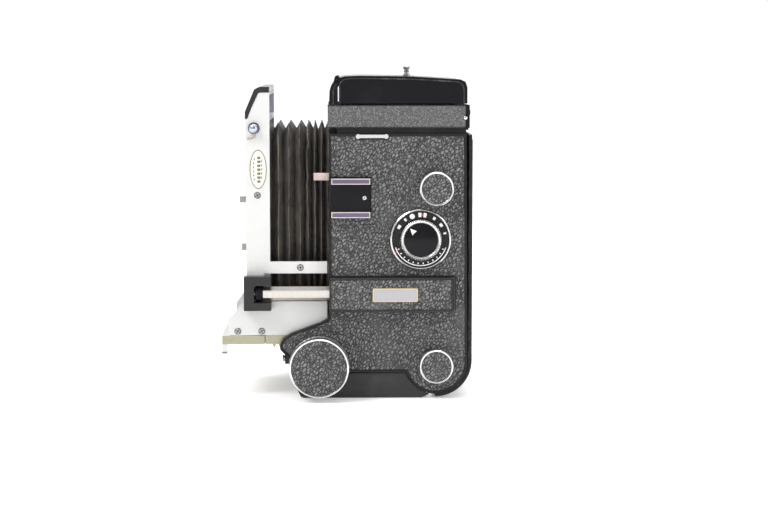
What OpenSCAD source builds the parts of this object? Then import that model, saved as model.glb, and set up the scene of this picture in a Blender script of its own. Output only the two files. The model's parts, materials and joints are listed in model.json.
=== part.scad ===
/* [Body] */
// Half width of the camera over its two outer side panels
panel_half_w = 42; // [42:0.1:44]
// Height of the body's top edge over its base
body_top = 138.1; // [137.5:0.1:138.2]
// Thickness of one outer side panel
panel_t = 2.5; // [2:0.1:2.6]
// Thickness of the leatherette on the side panels
leather_t = 0.7; // [0.4:0.1:0.8]
// Radius of the rounded heel at the lower back
heel_r = 16.6; // [16:0.1:16.8]

/* [Optics] */
// Height of the taking lens axis over the base
taking_z = 64; // [63:0.5:65]
// Height of the viewing lens axis over the base
viewing_z = 114; // [113:0.5:115]
// Side of the square film gate
gate = 55.6; // [54:0.1:56]

/* [Controls] */
// Radius of the two focusing knobs
focus_knob_r = 15.3; // [14:0.1:15.8]
// Radius of the two film spool knobs
spool_knob_r = 8.7; // [8:0.1:9.5]
// Outer radius of the lens lock dial's fixed ring
dial_r = 15.6; // [14:0.1:16]
// Radius of the corners of the six-sided distance scale rod
rod_r = 3.75; // [3.4:0.05:3.8]

/* [Mounts] */
// Radius of the tripod thread, a quarter inch across
tripod_r = 3.175; // [3.1:0.005:3.2]
// Height of the accessory shoe's slot between its two side walls
shoe_slot = 18.8; // [18.6:0.1:19]

/* [Hidden] */
$fn = 64;
sides = [0, 1];

// Radial play of a shaft in its bearing
play = 0.05;
// Air between the casting and the moving plates, and on to the panels
casting_half_w = 35.5;
casting_inner = 33.25;
panel_inner = panel_half_w - panel_t;
skin_y = panel_half_w + leather_t;

// The body's outline, seen from the side: front edge, back edge and heel
front_x = -17.2;
back_x = 55.1;
heel = [38.5, 19];
base_edge_z = 13.8;

// Axes that run across the camera: [x, z]
supply = [38.5, 17.5];
take_up = [38.5, 110];
roller_low = [43.5, 32.2];
roller_high = [43.5, 95.5];
pinion = [-22.4, 18];
dial = [30.4, 83.5];
door_hinge = [35.6, 1];
lid_hinge = [-12.5, 165.6];
flap_hinge_z = 155;
flap_hinge_y = 36.5;
bail = [-55.9, 140.9];
baffle = [36, 36.6];

// Rack and pinion: module 1
teeth = 18;
pitch_r = teeth / 2;
tooth_pitch = PI;
rack_pitch_z = pinion[1] + pitch_r;
rack_root_z = rack_pitch_z + 1;
rack_front_x = -50.5;
rack_back_x = 9.6;
rack_y = [36.4, 38.4];

// The front standard
plate_y = [37, 38.5];
standard_front = -60.3;
standard_back = -47.9;
bellows_back = -15.6;

// The distance scale rod lies in a slot of the left panel: [y, z]
rod = [-41.5, 55.1];
slot_z = [50.6, 59.6];

chamber_r = 13.4;
spool_flange_r = 12.4;
film_half_w = 31.6;
screen_mid_x = 20;

// A plate cut from an outline in X and Z, from y0 to y1
module slab(y0, y1) {
  translate([0, y1, 0])
    rotate([90, 0, 0])
      linear_extrude(height = y1 - y0)
        children();
}

// A round bar along Y on the axis [x, z]
module bar_y(axis, r, y0, y1) {
  translate([axis[0], y1, axis[1]])
    rotate([90, 0, 0])
      cylinder(h = y1 - y0, r = r);
}

// A round bar along X on the axis [y, z]
module bar_x(axis, r, x0, x1) {
  translate([x0, axis[0], axis[1]])
    rotate([0, 90, 0])
      cylinder(h = x1 - x0, r = r);
}

// A box given by its two ends on each axis
module block(x, y, z) {
  translate([x[0], y[0], z[0]])
    cube([x[1] - x[0], y[1] - y[0], z[1] - z[0]]);
}

module both_sides() {
  for (side = sides)
    mirror([0, side, 0])
      children();
}

// A plate with the body's side outline, drawn in by e, from y0 to y1
module body_plate(e, y0, y1) {
  slab(y0, y1)
    polygon([
      [front_x + e, body_top - e], [back_x - 1 - e, body_top - e], [back_x - 0.09 - e, heel[1]],
      [heel[0], heel[1] - 6], [23.6 + e, base_edge_z + e], [-32.2 + e, base_edge_z + e],
      [-39 + e, 21.6 + e], [-42.9 + e, 25.7 + e / 2], [-42.9 + e, 28.3], [-41.1 + e, 31.5 - e / 2],
      [-37.4, 34.1 - e], [-32.2, 36.1 - e], [-21.8, 39.8 - e], [-18.2 + e, 41.9 - e],
      [front_x + e, 44.5]
    ]);
  bar_y(heel, heel_r - e, y0, y1);
}

// Outline of the casting's side walls, clear of the bed and of the door
module casting_outline() {
  polygon([
    [-15.5, body_top - 0.2], [52.5, body_top - 0.2], [53.7, heel[1]], [heel[0], heel[1]],
    [24, 6], [20, 3], [-28, 3], [-29, 12], [-30.5, 16], [-34.2, 20.5], [-34.2, 24.5], [-15.5, 24.5]
  ]);
  translate(heel)
    circle(15.4);
}

// The round wall of a film chamber, open at the back
module chamber_wall(axis, x_end) {
  intersection() {
    difference() {
      bar_y(axis, chamber_r + 0.8, -casting_inner, casting_inner);
      bar_y(axis, chamber_r, -casting_half_w, casting_half_w);
    }
    block([axis[0] - 20, x_end], [-40, 40], [axis[1] - 20, axis[1] + 20]);
  }
}

module body_casting() {
  color("#202020")
  difference() {
    union() {
      both_sides() {
        slab(casting_inner, casting_half_w)
          casting_outline();
        block([47, 51], [casting_half_w - 0.1, panel_inner], [30, 136]);
        block([-12, 47], [casting_half_w - 0.1, panel_inner], [128, 136]);
        block([-5, 20], [casting_half_w - 0.1, panel_inner], [4, 9]);
        // Seat the mirror rests on
        slab(28, casting_inner + 0.1)
          polygon([[-6.2, 86.2], [42.8, 135.2], [43.5, 134.5], [-5.5, 85.5]]);
      }
      // Front frame round the bellows
      difference() {
        block([-15.5, -13.1], [-casting_half_w, casting_half_w], [24.4, 141]);
        block([-20, -10], [-30.5, 30.5], [36.5, 134.5]);
      }
      // Film gate
      difference() {
        block([43.5, 45.5], [-casting_inner, casting_inner], [35.2, 92.8]);
        block([40, 50], [-gate / 2, gate / 2], [taking_z - gate / 2, taking_z + gate / 2]);
      }
      // Floor of the taking chamber, divider under the mirror and floor of the body
      block([-13, 34], [-casting_inner, casting_inner], [33.2, 34.5]);
      block([-13, -8], [-casting_inner, casting_inner], [84, 85.5]);
      block([-28, 20], [-casting_inner, casting_inner], [3, 5]);
      block([-37.5, -15.5], [-casting_inner, casting_inner], [23, 24.5]);
      chamber_wall(supply, 40);
      chamber_wall(take_up, 40);
    }
    bar_y(pinion, 2.5 + play, -50, 50);
    for (axis = [supply, take_up])
      bar_y(axis, 2.2 + play, -50, 50);
    for (axis = [roller_low, roller_high])
      bar_y(axis, 1 + play, -50, 50);
    bar_y(dial, 2.5 + play, -50, 0);
    bar_y(baffle, 0.8 + play, -50, 50);
    // The tripod socket's seat
    translate([0, 0, -1])
      cylinder(h = 12, r = 7.1);
  }
}

// The left panel passes both spool knobs; the right one passes the crank and carries the supply pin
module side_panel(left) {
  if (!left)
    bar_y(supply, 2.2, -panel_inner - 0.1, -29.5);
  difference() {
    body_plate(0, -panel_half_w, -panel_inner);
    bar_y(pinion, 2.5 + play, -50, 0);
    for (axis = left ? [supply, take_up] : [take_up])
      bar_y(axis, 2.2 + play, -50, 0);
    if (left) {
      bar_y(dial, 2.5 + play, -50, 0);
      block([front_x - 1, 46], [-50, 0], slot_z);
    }
  }
}

module side_leather(left) {
  difference() {
    body_plate(1.3, -skin_y, -panel_half_w);
    bar_y(pinion, 6, -50, 0);
    for (axis = left ? [supply, take_up] : [take_up])
      bar_y(axis, 6, -50, 0);
    block([-3.6, 14.1], [-50, 0], [135.2, 140]);
    if (left) {
      bar_y(dial, dial_r + 0.2, -50, 0);
      block([front_x - 1, 48.6], [-50, 0], [45.6, 64.1]);
      block([-16.5, 4.8], [-50, 0], [94.3, 115.9]);
    }
  }
}

module left_side_panel() { color("#151515") side_panel(true); }

module right_side_panel() { color("#151515") mirror([0, 1, 0]) side_panel(false); }

module left_leatherette() { color("#262626") side_leather(true); }

module right_leatherette() { color("#262626") mirror([0, 1, 0]) side_leather(false); }

// Slanted wall under the bed, with the shutter button's collar
button = [-24, 18.4];
module front_apron() {
  color("#1b1b1b")
  difference() {
    union() {
      slab(-panel_inner, panel_inner)
        polygon([[-42.6, 25.5], [-38.8, 21.6], [-33.6, 15.6], [-32.2, 16.8], [-38.6, 24], [-38.6, 25.5]]);
      bar_x(button, 3.2, -40.8, -35);
    }
    bar_x(button, 1.6 + play, -50, -30);
    bar_y(pinion, 10.4, -50, 50);
  }
}

module base_plate() {
  color("#181818")
  difference() {
    slab(-panel_half_w + 0.4, panel_half_w - 0.4)
      difference() {
        polygon([[-36, 8.6], [-32.2, 0.6], [-30, 0], [31, 0], [33.6, 1.1], [33.6, 13], [-32.2, 13]]);
        translate(heel)
          circle(heel_r + 0.3);
      }
    slab(-panel_half_w + 2.2, panel_half_w - 2.2)
      polygon([[-34, 9], [-30.6, 2], [21, 2], [27, 4], [27, 14], [-34, 14]]);
    translate([0, 0, -1])
      cylinder(h = 5, r = 6);
  }
}

module tripod_socket() {
  color("#c9c9c9")
  difference() {
    cylinder(h = 8, r = 5.95);
    translate([0, 0, -1])
      cylinder(h = 10, r = tripod_r);
  }
}

// Two rails that hold an accessory foot, screwed to the left panel
shoe_x = [-15.9, 4.2];
shoe_mid_z = 105.05;
shoe_lip = 3.1;
module accessory_shoe() {
  half = shoe_slot / 2;
  color("#d8d8d8") {
    block(shoe_x, [-skin_y - 0.7, -panel_half_w], [shoe_mid_z - half - 0.8, shoe_mid_z + half + 0.8]);
    for (up = [-1, 1]) {
      wall = shoe_mid_z + up * (half + 0.4);
      lip = shoe_mid_z + up * (half + 0.8 - shoe_lip / 2);
      block(shoe_x, [-skin_y - 4, -skin_y - 0.6], [wall - 0.4, wall + 0.4]);
      block(shoe_x, [-skin_y - 4, -skin_y - 3], [lip - shoe_lip / 2, lip + shoe_lip / 2]);
    }
    bar_y([1.3, shoe_mid_z], 1.1, -skin_y - 1, -skin_y - 0.6);
  }
}

// Cover over the distance scale rod, open at its front
housing_x = [-17, 48];
housing_z = [46, 63.7];
housing_y = [-46.9, -panel_half_w];
module scale_housing() {
  color("#141414")
  difference() {
    block(housing_x, housing_y, housing_z);
    block([-20, 47.5], [-45.7, -30], slot_z);
  }
}

module scale_plate() {
  color("#c8c8c4")
    block([5.7, 28.6], [housing_y[0] - 0.4, housing_y[0]], [51.5, 58]);
}

module index_tab() {
  color("#f0e4d8")
    block([-25, front_x], [-41, -39.6], [114.1, 117.8]);
}

module strap_lugs() {
  color("#d0d0d0")
  both_sides()
    difference() {
      union() {
        block([-2.2, 12.7], [-panel_half_w - 1.8, -panel_half_w], [136, 137.7]);
        for (x = [-2, 12.5])
          bar_y([x, 136.8], 1.2, -panel_half_w - 2.2, -panel_half_w);
      }
      block([0.5, 10], [-panel_half_w - 1.2, -panel_half_w + 1], [133, 140]);
    }
}

module screen_frame() {
  color("#101010")
  difference() {
    block([-12.9, 54], [-40.5, 40.5], [body_top, 141.2]);
    block([screen_mid_x - 27.5, screen_mid_x + 27.5], [-27.5, 27.5], [130, 145]);
    block([screen_mid_x - 28.9, screen_mid_x + 28.9], [-28.9, 28.9], [139.6, 145]);
  }
}

module focusing_screen() {
  color("#dfe6e2")
    block([screen_mid_x - 28.8, screen_mid_x + 28.8], [-28.8, 28.8], [139.6, 141]);
}

// The mirror's face lies at 45 degrees, where both optical axes meet
module reflex_mirror() {
  color("#dde4ea")
    slab(-29.5, 29.5)
      polygon([[-7, 87], [42, 136], [42.8, 135.2], [-6.2, 86.2]]);
}

// The hood's side walls and its hinge ears, given by their distances from the middle
lid_y = [39.6, 40.9];
ear_y = [36.4, 38.4];
// Hinge lines and pins of the three flaps
flap_x = [-10.5, 49];
rear_hinge = [50, 157.4];
pin_r = 0.45;
edge_r = 0.6;
module hood_base() {
  color("#3a3a3c")
  difference() {
    block([-17.7, 55.6], [-41.5, 41.5], [141.2, 152.9]);
    block([-11, 50.5], [-35, 35], [141, 153]);
    // Room for the end of the bellows
    block([-18, bellows_back + 0.1], [-33.2, 33.2], [141, 144]);
  }
  // Posts that carry the flaps' pins
  color("#3a3a3c")
    both_sides()
      difference() {
        union() {
          for (x = [flap_x[0] - 1.4, flap_x[1] + 0.2])
            block([x, x + 1.2], [flap_hinge_y - 0.9, flap_hinge_y + 0.9], [152.8, 155.9]);
          block([49.2, 53], [34.2, 35.3], [152.8, 158.3]);
        }
        bar_x([flap_hinge_y, flap_hinge_z], pin_r + play, -20, 60);
        bar_y(rear_hinge, pin_r + play, 30, 36);
      }
}

// Front of the hood, with its two cheeks and the ears that carry the lid's hinge pins
module hood_front_wall() {
  color("#101010") {
    slab(-40.9, 40.9)
      polygon([
        [-17, 152.9], [-16.7, 160.5], [-15.7, 163.2], [-14.9, 164.4], [-13.8, 164.4], [-14.6, 162.8],
        [-15.5, 160.2], [-15.8, 152.9]
      ]);
    both_sides()
      slab(-lid_y[1], -lid_y[0])
        polygon([
          [-16, 152.9], [-16, 159.6], [-15.4, 162.4], [-14, 164.4], [-12.4, 164.4], [-12.4, 152.9]
        ]);
    difference() {
      both_sides() {
        slab(-ear_y[1], -ear_y[0])
          polygon([[-15.4, 161], [-14.4, 165.6], [-10.6, 165.6], [-11.6, 163], [-13.6, 160.6]]);
        bar_y(lid_hinge, 1.9, -ear_y[1], -ear_y[0]);
      }
      bar_y(lid_hinge, 0.9 + play, -50, 50);
    }
  }
}

// Marked ring round the lens lock dial
module dial_base_ring() {
  color("#151515")
  difference() {
    bar_y(dial, dial_r, -44.4, -panel_half_w);
    bar_y(dial, 10.9, -50, -42.6);
    bar_y(dial, 2.5 + play, -50, 0);
  }
}

module lens_lock_dial() {
  color("#bdbdbd") {
    bar_y(dial, 10.6, -48.4, -42.9);
    bar_y(dial, 2.5, -43, -31.9);
    // The pointer, which stands proud of the face
    translate([dial[0], -48.2, dial[1]])
      rotate([0, 130, 0])
        block([-1.3, 8.6], [-0.8, 0], [-1.3, 1.3]);
  }
}

module light_baffle() {
  color("#0e0e0e") {
    block([-7, 36], [-29, 29], [36, 36.8]);
    bar_y(baffle, 0.8, -34.5, 34.5);
  }
}

module film_roller(axis) {
  color("#9aa0a4") {
    bar_y(axis, 2.4, -film_half_w, film_half_w);
    bar_y(axis, 1, -34.9, 34.9);
  }
}

module film_roller_lower() { film_roller(roller_low); }

module film_roller_upper() { film_roller(roller_high); }

// A spool for 120 film, with a slot for the key at each end
module film_spool(axis) {
  difference() {
    union() {
      bar_y(axis, 6, -film_half_w - 0.9, film_half_w + 0.9);
      both_sides()
        bar_y(axis, spool_flange_r, film_half_w, film_half_w + 0.9);
    }
    bar_y(axis, 2.2 + play, -40, -film_half_w + 3.5);
    bar_y(axis, 2.2 + play, film_half_w - 3.5, 40);
    block([axis[0] - 0.6, axis[0] + 0.6], [-9, 9], [axis[1] - 7, axis[1] + 7]);
  }
}

module supply_spool() { color("#b83a2c") film_spool(supply); }

module take_up_spool() { color("#2c2c30") film_spool(take_up); }

module spool_knob(axis) {
  bar_y(axis, spool_knob_r, -50, -43.1);
  bar_y(axis, 2.2, -43.5, -29.5);
}

module lower_spool_knob() { color("#c4c4c4") spool_knob(supply); }

module upper_spool_knob() { color("#c4c4c4") spool_knob(take_up); }

// The crank turns the take-up spool, and its handle folds flat along the arm
crank_reach = 24;
crank_pin = [take_up[0] - crank_reach, 52.5];
module winding_crank() {
  color("#b8b8b8") {
    bar_y(take_up, 9, 43.1, 47.6);
    bar_y(take_up, 2.2, 29.5, 43.5);
    block([crank_pin[0] - 2, take_up[0]], [47.5, 49.7], [take_up[1] - 3.9, take_up[1] + 3.9]);
    for (up = [-3.3, 3.3])
      block([crank_pin[0] - 2, crank_pin[0] + 2], [49.6, 54.4],
        [take_up[1] + up - 0.6, take_up[1] + up + 0.6]);
    translate([crank_pin[0], crank_pin[1], take_up[1] - 3.9])
      cylinder(h = 7.8, r = 1);
  }
}

module crank_handle() {
  color("#202020")
  difference() {
    union() {
      translate([crank_pin[0], crank_pin[1], take_up[1] - 2.5])
        cylinder(h = 5, r = 2.3);
      bar_x([crank_pin[1], take_up[1]], 2.3, crank_pin[0], crank_pin[0] + 17);
    }
    translate([crank_pin[0], crank_pin[1], take_up[1] - 3])
      cylinder(h = 6, r = 1 + play);
  }
}

module shutter_button() {
  color("#303034") {
    bar_x(button, 1.6, -42.2, -29.8);
    bar_x(button, 2.3, -31, -29.8);
  }
}

// The door wraps round the heel and turns on the hinge pin at the bottom
door_heel = [38.5, 19.2];
door_r = 18.6;
door_t = 1.5;
knuckle_y = 33.7;
module back_door() {
  color("#222222")
  difference() {
    union() {
      slab(-41.8, 41.8) {
        polygon([
          [door_heel[0] + door_r - door_t, 137.6], [door_heel[0] + door_r, 137.6],
          [door_heel[0] + door_r, door_heel[1]], [door_heel[0] + door_r - door_t, door_heel[1]]
        ]);
        intersection() {
          difference() {
            translate(door_heel)
              circle(door_r);
            translate(door_heel)
              circle(door_r - door_t);
          }
          translate([37, -1])
            square([30, door_heel[1] + 1.1]);
        }
      }
      bar_y(door_hinge, 1, -knuckle_y, knuckle_y);
      block([door_hinge[0], 37.4], [-knuckle_y, knuckle_y], [0.8, 1.9]);
    }
    bar_y(door_hinge, 0.5 + play, -50, 50);
    for (side = [-1, 1])
      block([door_hinge[0] - 2, 38], [side * 37.9 - 4, side * 37.9 + 4], [-1, 2.2]);
  }
}

module pressure_plate() {
  color("#6e7276") {
    block([46.3, 47.3], [-30.5, 30.5], [34.5, 93.5]);
    for (z = [50, 78])
      bar_x([0, z], 2.5, 47.2, 55.6);
  }
}

module hinge_pin() {
  color("#c8c8c8") {
    bar_y(door_hinge, 0.5, -40, 40);
    for (side = [-1, 1]) {
      bar_y(door_hinge, 1, side * 37 - 3, side * 37 + 3);
      block([33.6, door_hinge[0]], [side * 37 - 3, side * 37 + 3], [0.1, 1.1]);
    }
  }
}

module back_latch() {
  color("#202020") {
    block([55.8, 57], [-14, 14], [139, 151]);
    block([56.9, 58.3], [-9, 9], [146.9, 149.4]);
  }
}

module side_plate(left) {
  difference() {
    slab(-plate_y[1], -plate_y[0])
      polygon([
        [standard_back, 159.4], [-54.6, 159.4], [standard_front, 145.5], [standard_front, 51],
        [-63.4, 49.1], [-69.7, 40.3], [-69.7, 32.8], [rack_back_x, 32.8], [rack_back_x, 42],
        [-18.2, 42], [-18.2, 50.6], [-51, 50.6], [-51, 65.3], [-18.2, 65.3], [-18.2, 71.5],
        [standard_back, 71.5]
      ]);
    bar_y(bail, 1 + play, -50, 0);
    if (left)
      block([-56.1, -50], [-50, 0], [50.6, 59.6]);
  }
}

module standard_side_plates() {
  color("#d9dce0") {
    side_plate(true);
    mirror([0, 1, 0])
      side_plate(false);
  }
}

module standard_frame() {
  color("#8f959c") {
    difference() {
      block([-53.4, standard_back], [-36.9, 36.9], [33, 159.3]);
      block([-60, -40], [-33.6, 33.6], [35.4, 144.6]);
      block([-52, -40], [-35, 35], [147, 158]);
    }
    difference() {
      block([-54.4, -53.4], [-36.9, 36.9], [33, 159.3]);
      block([-60, -40], [-32, 32], [37, 132.5]);
    }
  }
}

module standard_cap() {
  color("#0d0d0d") {
    slab(-38.6, 38.6)
      polygon([
        [standard_back, 159.5], [standard_back, 162.2], [-53, 162.2], [-55.6, 160.8], [-55.2, 159.5]
      ]);
    slab(-36.8, 36.8)
      polygon([
        [-55.6, 160.8], [-60.4, 148.5], [-60.4, 145.6], [-59.3, 145.6], [-59.3, 148.2], [-54.8, 159.6]
      ]);
  }
}

module focusing_bed() {
  color("#8a7a45") {
    block([-73.3, -51], [-38.5, 38.5], [28, 32.5]);
    block([-51.1, -44], [-36.2, 36.2], [28, 32.5]);
    // Tongue under the front corner
    block([-73.3, -70.7], [-38.4, -33], [23.1, 28.1]);
  }
}

// One straight-sided tooth, its pitch line at y = 0
tooth_w = 1.2;
tooth_slope = tan(20);
module tooth(down, up) {
  half = tooth_w / 2;
  polygon([
    [-half - down * tooth_slope, -down], [half + down * tooth_slope, -down],
    [half - up * tooth_slope, up], [-half + up * tooth_slope, up]
  ]);
}

module focus_racks() {
  first = ceil((rack_front_x - pinion[0]) / tooth_pitch);
  last = floor((rack_back_x - pinion[0]) / tooth_pitch) - 1;
  color("#8a7a45")
  both_sides()
    slab(rack_y[0], rack_y[1]) {
      translate([rack_front_x, rack_root_z])
        square([rack_back_x - rack_front_x, 4.7]);
      for (i = [first:last])
        translate([pinion[0] + (i + 0.5) * tooth_pitch, rack_pitch_z])
          rotate(180)
            tooth(1.05, 0.8);
    }
}

module focus_shaft() {
  color("#a8acb0") {
    bar_y(pinion, 2.5, -50, 50);
    both_sides()
      slab(rack_y[0], rack_y[1])
        translate(pinion) {
          circle(pitch_r - 1.2);
          for (i = [0:teeth - 1])
            rotate(90 + i * 360 / teeth)
              translate([pitch_r, 0])
                rotate(-90)
                  tooth(1.5, 0.7);
        }
  }
}

module focus_knob() {
  difference() {
    union() {
      bar_y(pinion, focus_knob_r + 0.5, -48, -44.4);
      bar_y(pinion, focus_knob_r, -58, -47.9);
    }
    bar_y(pinion, 2.5, -50, 0);
  }
}

module left_focus_knob() { color("#c6c6c6") focus_knob(); }

module right_focus_knob() { color("#c6c6c6") mirror([0, 1, 0]) focus_knob(); }

// Bracket that carries the front end of the distance scale rod
module scale_bracket() {
  color("#101010")
  difference() {
    slab(-46, -plate_y[1])
      polygon([
        [-61.4, 46.5], [-47.3, 46.5], [-47.3, 50.6], [-56.2, 50.6], [-56.2, 59.6], [-47.3, 59.6],
        [-47.3, 64.2], [-61.4, 64.2]
      ]);
    bar_x(rod, 1.5 + play, -59, -50);
  }
}

module scale_rod() {
  color("#d4d0c4") {
    translate([-51.6, rod[0], rod[1]])
      rotate([0, 90, 0])
        cylinder(h = 69.6, r = rod_r, $fn = 6);
    bar_x(rod, 4.1, -55.8, -51.5);
    bar_x(rod, 1.5, -58.7, -55.7);
  }
}

screw_places = [[-65, 34.9], [-52.5, 34.9], [-54.3, 106.1], [-32.2, 68.4]];
module plate_screws() {
  color("#b8b8b8")
  both_sides()
    for (place = screw_places)
      bar_y(place, 1.55, -plate_y[1] - 0.7, -plate_y[1]);
}

// Board that both lenses are screwed into, held by the wire bail
module lens_board() {
  color("#1c1c1c")
  difference() {
    block([-55.9, -54.4], [-36.4, 36.4], [33.5, 135.2]);
    bar_x([0, taking_z], 17.1, -60, -50);
    bar_x([0, viewing_z], 15.1, -60, -50);
  }
}

module viewing_lens() {
  color("#1a1a1a")
  difference() {
    union() {
      bar_x([0, viewing_z], 18.4, -58.4, -55.9);
      bar_x([0, viewing_z], 16.8, -60.2, -58.3);
      bar_x([0, viewing_z], 15, -56, -48);
    }
    bar_x([0, viewing_z], 14, -62, -45);
  }
}

module taking_lens() {
  color("#2a2a2c")
  difference() {
    union() {
      bar_x([0, taking_z], 24.5, -57.4, -55.9);
      bar_x([0, taking_z], 19.5, -60.2, -57.3);
      bar_x([0, taking_z], 17, -56, -46);
    }
    bar_x([0, taking_z], 14, -62, -45);
  }
}

module lens_glasses() {
  color("#8fb4c8")
    for (z = [taking_z, viewing_z])
      bar_x([0, z], 13.95, -58.6, -50);
}

module speed_ring() {
  color("#b9b9bb")
  difference() {
    bar_x([0, taking_z], 23.6, -60, -57.6);
    bar_x([0, taking_z], 19.5 + play, -62, -55);
  }
}

// Levers of the shutter; their tips stand proud of the standard
lever_y = -21;
module aperture_lever() {
  color("#9a9aa0") {
    difference() {
      bar_x([0, taking_z], 25.8, -57.3, -56.1);
      bar_x([0, taking_z], 24.5 + play, -60, -50);
    }
    block([-63.4, -56.2], [lever_y - 1.6, lever_y + 0.4], [77.6, 79.4]);
    block([-63.4, -60.8], [lever_y - 1.6, lever_y + 0.4], [75.9, 79.4]);
  }
}

cock = [-27, 97];
module cocking_lever() {
  color("#9a9aa0") {
    block([-57.6, -56.2], [cock[0] - 1.6, cock[0] + 1.6], [cock[1] - 1.6, 104.8]);
    block([-64.1, -57.5], [cock[0] - 1, cock[0] + 1], [101.6, 104.8]);
    bar_x(cock, 2.4, -58.2, -56.1);
  }
}

// Bent wire over the top of the lens board, on a shaft with two balls
module wire_bail() {
  cross = [-57.4, 134];
  color("#c8c4bc") {
    both_sides() {
      bar_y(bail, 1, -39.8, -34.9);
      translate([bail[0], -41.2, bail[1]])
        sphere(2.5);
      hull() {
        translate([bail[0], -35.6, bail[1]])
          sphere(0.7, $fn = 24);
        translate([cross[0], -35.6, cross[1]])
          sphere(0.7, $fn = 24);
      }
    }
    bar_y(cross, 0.7, -35.6, 35.6);
  }
}

module bellows() {
  color("#16120f")
  difference() {
    block([-53.3, bellows_back], [-33, 33], [36.2, 143.8]);
    block([-60, 0], [-31.5, 31.5], [37.7, 142.3]);
  }
}

// The lid is a shallow pan, hinged at its front edge above the fixed front wall
magnifier_hinge = [16, 161.5];
stud_x = 24.4;
stud_r = 2;
module hood_lid() {
  color("#0b0b0b")
  difference() {
    union() {
      slab(-lid_y[1], lid_y[1])
        polygon([
          [-12.9, 165.2], [-12.9, 166.6], [-8.8, 167.7], [-1, 168], [24.4, 167.7], [51, 166.1],
          [53.6, 164.9], [54.6, 162], [54.6, 153.7], [53.4, 153.7], [53.4, 161.6], [52.7, 163.8],
          [50.6, 164.8], [24.4, 166.5], [-1, 166.8], [-8.4, 166.5], [-11.7, 165.2]
        ]);
      both_sides() {
        slab(-lid_y[1], -lid_y[0])
          polygon([
            [-11.9, 153.7], [53.6, 153.7], [53.6, 164], [50.8, 165], [24.4, 166.6], [-1, 166.9],
            [-8.4, 166.6], [-11.9, 165.2]
          ]);
        block([magnifier_hinge[0] - 1.5, magnifier_hinge[0] + 1.5], [17.4, 18.6], [160, 166.9]);
        bar_y(lid_hinge, 0.9, -lid_y[0], -36);
      }
    }
    bar_y(magnifier_hinge, 0.6, -30, 30);
    // Gaps for the hinge ears, crossed by the pins
    both_sides()
      difference() {
        block([-15, -10.2], [ear_y[0] - 0.2, ear_y[1] + 0.2], [163, 169]);
        bar_y(lid_hinge, 0.9, -50, 50);
      }
    translate([stud_x, 0, 160])
      cylinder(h = 10, r = stud_r + play);
  }
}

module lid_stud() {
  color("#8a8e92")
    translate([stud_x, 0, 166.9])
      cylinder(h = 6.1, r = stud_r);
}

// A side flap, lying flat, with its ends cut so that it clears the rear flap
flap_reach = 26;
module side_flap() {
  color("#141414") {
    bar_x([-flap_hinge_y, flap_hinge_z], edge_r, flap_x[0], flap_x[1]);
    bar_x([-flap_hinge_y, flap_hinge_z], pin_r, flap_x[0] - 1.3, flap_x[1] + 1.3);
    translate([0, 0, flap_hinge_z - 0.4])
      linear_extrude(height = 0.8)
        polygon([
          [flap_x[0], -flap_hinge_y], [flap_x[1], -flap_hinge_y],
          [flap_x[1] - flap_reach, -flap_hinge_y + flap_reach],
          [flap_x[0] + 0.8 * flap_reach, -flap_hinge_y + flap_reach]
        ]);
  }
}

module left_hood_flap() { side_flap(); }

module right_hood_flap() { mirror([0, 1, 0]) side_flap(); }

rear_reach = 28;
module rear_hood_flap() {
  color("#141414") {
    bar_y(rear_hinge, edge_r, -34, 34);
    bar_y(rear_hinge, pin_r, -35.2, 35.2);
    translate([0, 0, rear_hinge[1] - 0.4])
      linear_extrude(height = 0.8)
        polygon([
          [rear_hinge[0], -34], [rear_hinge[0], 34], [rear_hinge[0] - rear_reach, 24],
          [rear_hinge[0] - rear_reach, -24]
        ]);
  }
}

// Lens in a frame that swings out from under the lid
module magnifier() {
  lens_mid = [magnifier_hinge[0] + 19, 0, 160];
  color("#202024")
  difference() {
    union() {
      block([magnifier_hinge[0] + 1.4, magnifier_hinge[0] + 34], [-15.5, 15.5], [160.2, 162.6]);
      block([magnifier_hinge[0] - 1, magnifier_hinge[0] + 3], [-16.8, 16.8], [160.5, 162.5]);
      bar_y(magnifier_hinge, 0.55, -19.5, 19.5);
    }
    translate(lens_mid)
      cylinder(h = 5, r = 13);
  }
  color("#a9c6d4")
    translate(lens_mid + [0, 0, 0.4])
      cylinder(h = 2, r = 13);
}

body_casting();
left_side_panel();
right_side_panel();
left_leatherette();
right_leatherette();
front_apron();
base_plate();
tripod_socket();
accessory_shoe();
scale_housing();
scale_plate();
index_tab();
strap_lugs();
screen_frame();
focusing_screen();
reflex_mirror();
hood_base();
hood_front_wall();
dial_base_ring();
lens_lock_dial();
light_baffle();
film_roller_lower();
film_roller_upper();
supply_spool();
take_up_spool();
lower_spool_knob();
upper_spool_knob();
winding_crank();
crank_handle();
shutter_button();
back_door();
pressure_plate();
hinge_pin();
back_latch();
standard_side_plates();
standard_frame();
standard_cap();
focusing_bed();
focus_racks();
scale_bracket();
scale_rod();
plate_screws();
lens_board();
viewing_lens();
taking_lens();
lens_glasses();
speed_ring();
aperture_lever();
cocking_lever();
wire_bail();
bellows();
focus_shaft();
left_focus_knob();
right_focus_knob();
hood_lid();
lid_stud();
left_hood_flap();
right_hood_flap();
rear_hood_flap();
magnifier();
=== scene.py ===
"""Twin lens reflex camera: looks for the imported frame, in metres, -X to the lenses, -Y the left side."""

import json
import math
import random

import bmesh
import bpy
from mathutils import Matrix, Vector, noise


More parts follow.
